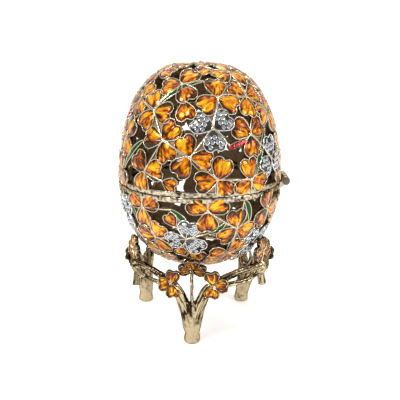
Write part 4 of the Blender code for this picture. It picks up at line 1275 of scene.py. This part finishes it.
def barrel(bag, low, high, upward):
    """A smooth knuckle with its bore, and the arm that joins it to a rim."""
    slim, bore = BARREL_RADIUS - BARREL_CHAMFER, PIN_RADIUS + GAP
    wide, inner_low, inner_high = BARREL_RADIUS, low + BARREL_CHAMFER, high - BARREL_CHAMFER
    # Darkness of each ring, patina with painted shade: light on the faces, darkest in the bore
    section = ((slim, low, 0.3), (wide, inner_low, 0.1), (wide, inner_high, 0.1), (slim, high, 0.3),
               (bore, high, 0.9), (bore, low, 0.9))
    around = circle((0, 0, 1), (1, 0, 0), BARREL_SIDES)
    rings = [np.array([HINGE_X, along, SEAM]) + around * radius for radius, along, _ in section]
    bag.stack(rings, edge=[[dark] for *_, dark in section], loop=True)
    side = 1 if upward else -1
    root = EGG_RADIUS - HINGE_ARM_ROOT
    near = HINGE_X - PIN_RADIUS - HINGE_ARM_CLEARANCE
    rise = (PIN_RADIUS + BARREL_RADIUS) * HINGE_ARM_RISE
    arm = [(root, GAP), (near, GAP), (near, (PIN_RADIUS + GAP) / 2), (HINGE_X - PIN_RADIUS / 2, rise),
           (root, HINGE_ARM_DROP)][::-side]
    ends = (low + GAP / 3, high - GAP / 3)
    bag.stack([np.array([(x, along, SEAM + side * z) for x, z in arm]) for along in ends], edge=ARM_SHADE)


def plate(bag):
    """The plain plate under the seam, opposite the hinge."""
    middle = SEAM_ALONG + GAP / 2 + PLATE_HEIGHT / 2
    outline = smooth_loop(PLATE_CORNERS, PLATE_SAMPLES)
    outline[:, 1] = np.clip(outline[:, 1], -1, None)
    rings = []
    for share, lift, _ in PLATE_SECTION:
        along = middle + outline[:, 1] * share * PLATE_HEIGHT / 2
        azimuth = -math.pi / 2 + outline[:, 0] * share * PLATE_WIDTH / 2 / EGG_RADIUS
        rings.append(on_egg(along, azimuth, lift * MM)[::-1])
    bag.stack(rings, edge=[[dark] for *_, dark in PLATE_SECTION])


def red_stones(shell, look):
    """The rows of red stones with their collars."""
    bag = Bag()
    for row in shell.rows:
        for centre in row:
            right, up = (way[0] for way in directions_at(*nearest(centre[None])))
            spot = centre + np.cross(right, up) * GAP
            cut_stone(bag, spot, right, up, STONE_RADIUS, STONE_HEIGHT)
            collar(shell.bags["settings"], spot, right, up, STONE_RADIUS, RED_COLLAR_SIDES, RED_COLLAR)
        shell.strip(row, BLADE_WIDTH)
    return bag.made("red_stones", look)


# The room: floor, lights and camera

def sweep():
    """A white floor that rises behind the object."""
    profile = [(FLOOR_FRONT, 0.0), (FLOOR_BACK, 0.0)]
    for turn in np.linspace(0.15, math.pi / 2, 9):
        profile.append((FLOOR_BACK + FLOOR_BEND * math.sin(turn), FLOOR_BEND * (1 - math.cos(turn))))
    profile.append((FLOOR_BACK + FLOOR_BEND, FLOOR_REACH))
    points = [(x, y, z) for y, z in profile for x in (-FLOOR_REACH, FLOOR_REACH)]
    faces = [(2 * i, 2 * i + 1, 2 * i + 3, 2 * i + 2) for i in range(len(profile) - 1)]
    mesh = bpy.data.meshes.new("floor")
    mesh.from_pydata(points, [], faces)
    mesh.shade_smooth()
    paper = Look("paper", (0.9, 0.9, 0.9), 0.7, 0.0)
    paper.shader.inputs["Emission Color"].default_value = (1.0, 1.0, 1.0, 1.0)
    paper.shader.inputs["Emission Strength"].default_value = FLOOR_GLOW
    mesh.materials.append(paper.made)
    floor = linked("floor", mesh)


def room():
    world = bpy.data.worlds.new("room")
    world.use_nodes = True
    nodes, links = world.node_tree.nodes, world.node_tree.links
    parts = nodes.new("ShaderNodeSeparateXYZ")
    links.new(nodes.new("ShaderNodeTexCoord").outputs["Generated"], parts.inputs[0])
    sky = nodes.new("ShaderNodeMapRange")
    for name, value in (("From Min", -0.1), ("From Max", 0.9), ("To Min", 0.22), ("To Max", 0.85)):
        sky.inputs[name].default_value = value
    links.new(parts.outputs["Z"], sky.inputs["Value"])
    links.new(sky.outputs[0], nodes["Background"].inputs["Strength"])
    nodes["Background"].inputs["Color"].default_value = (1.0, 0.99, 0.97, 1.0)
    bpy.context.scene.world = world
    sweep()
    for name, (place, size, power) in LAMPS.items():
        data = bpy.data.lights.new(name, "AREA")
        data.shape = "RECTANGLE"
        data.size, data.size_y = size
        data.energy = power
        lamp = linked(name, data)
        lamp.location = place
        aim = Vector((AXIS_X, 0, LAMP_AIM)) - Vector(place)
        lamp.rotation_euler = aim.to_track_quat("-Z", "Y").to_euler()
    data = bpy.data.cameras.new("camera")
    data.sensor_width = 36.0
    data.lens = CAMERA_LENS
    data.clip_start = 0.01
    camera = linked("camera", data)
    down = math.radians(CAMERA_ELEVATION)
    away, rise = CAMERA_DISTANCE * math.cos(down), CAMERA_DISTANCE * math.sin(down)
    camera.location = (AXIS_X, -away, CAMERA_AIM + rise)
    camera.rotation_euler = (math.pi / 2 - down, 0, 0)
    bpy.context.scene.camera = camera
    bpy.context.scene.view_settings.view_transform = "Standard"


def dressed(pieces, body, nodes):
    """Pieces made to ride on a body in place of its nodes."""
    for made in pieces:
        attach(made, body)
    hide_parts(*nodes)


def main():
    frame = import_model()
    made = looks()
    lid = Shell("lid", True, PAVE_ON_LID, BLADES_ON_LID, LID_SEED)
    base = Shell("base", False, PAVE_ON_BASE, BLADES_ON_BASE, BASE_SEED)
    stones = red_stones(lid, made["red"])
    half = KNUCKLE_LENGTH / 2
    barrel(lid.bags["metal"], -half, half, True)
    for low in (half + GAP, -half - GAP - KNUCKLE_LENGTH):
        barrel(base.bags["metal"], low, low + KNUCKLE_LENGTH, False)
    plate(base.bags["metal"])
    for shell in (lid, base):
        shell.leaves()
        for curve in shell.curves:
            shell.blade(curve)
        shell.stems()
        shell.rim()
        pieces = [shell.bags[part].made(f"{shell.name}_{part}", made[look], sharp)
                  for part, look, sharp in SHELL_PIECES]
        dressed([*pieces, shell.web(made["wall"])], shell.name, [shell.name])
    dressed([stones], "lid", [f"red_stone_{number:02d}" for number in range(1, 11)])
    dressed([bark(made["antique"]), *stand_charms(made)], "base", ["stand"])
    pin = frame["nodes"]["hinge_pin"]
    pin.material_slots[0].link = "OBJECT"
    pin.material_slots[0].material = made["steel"]
    room()


main()
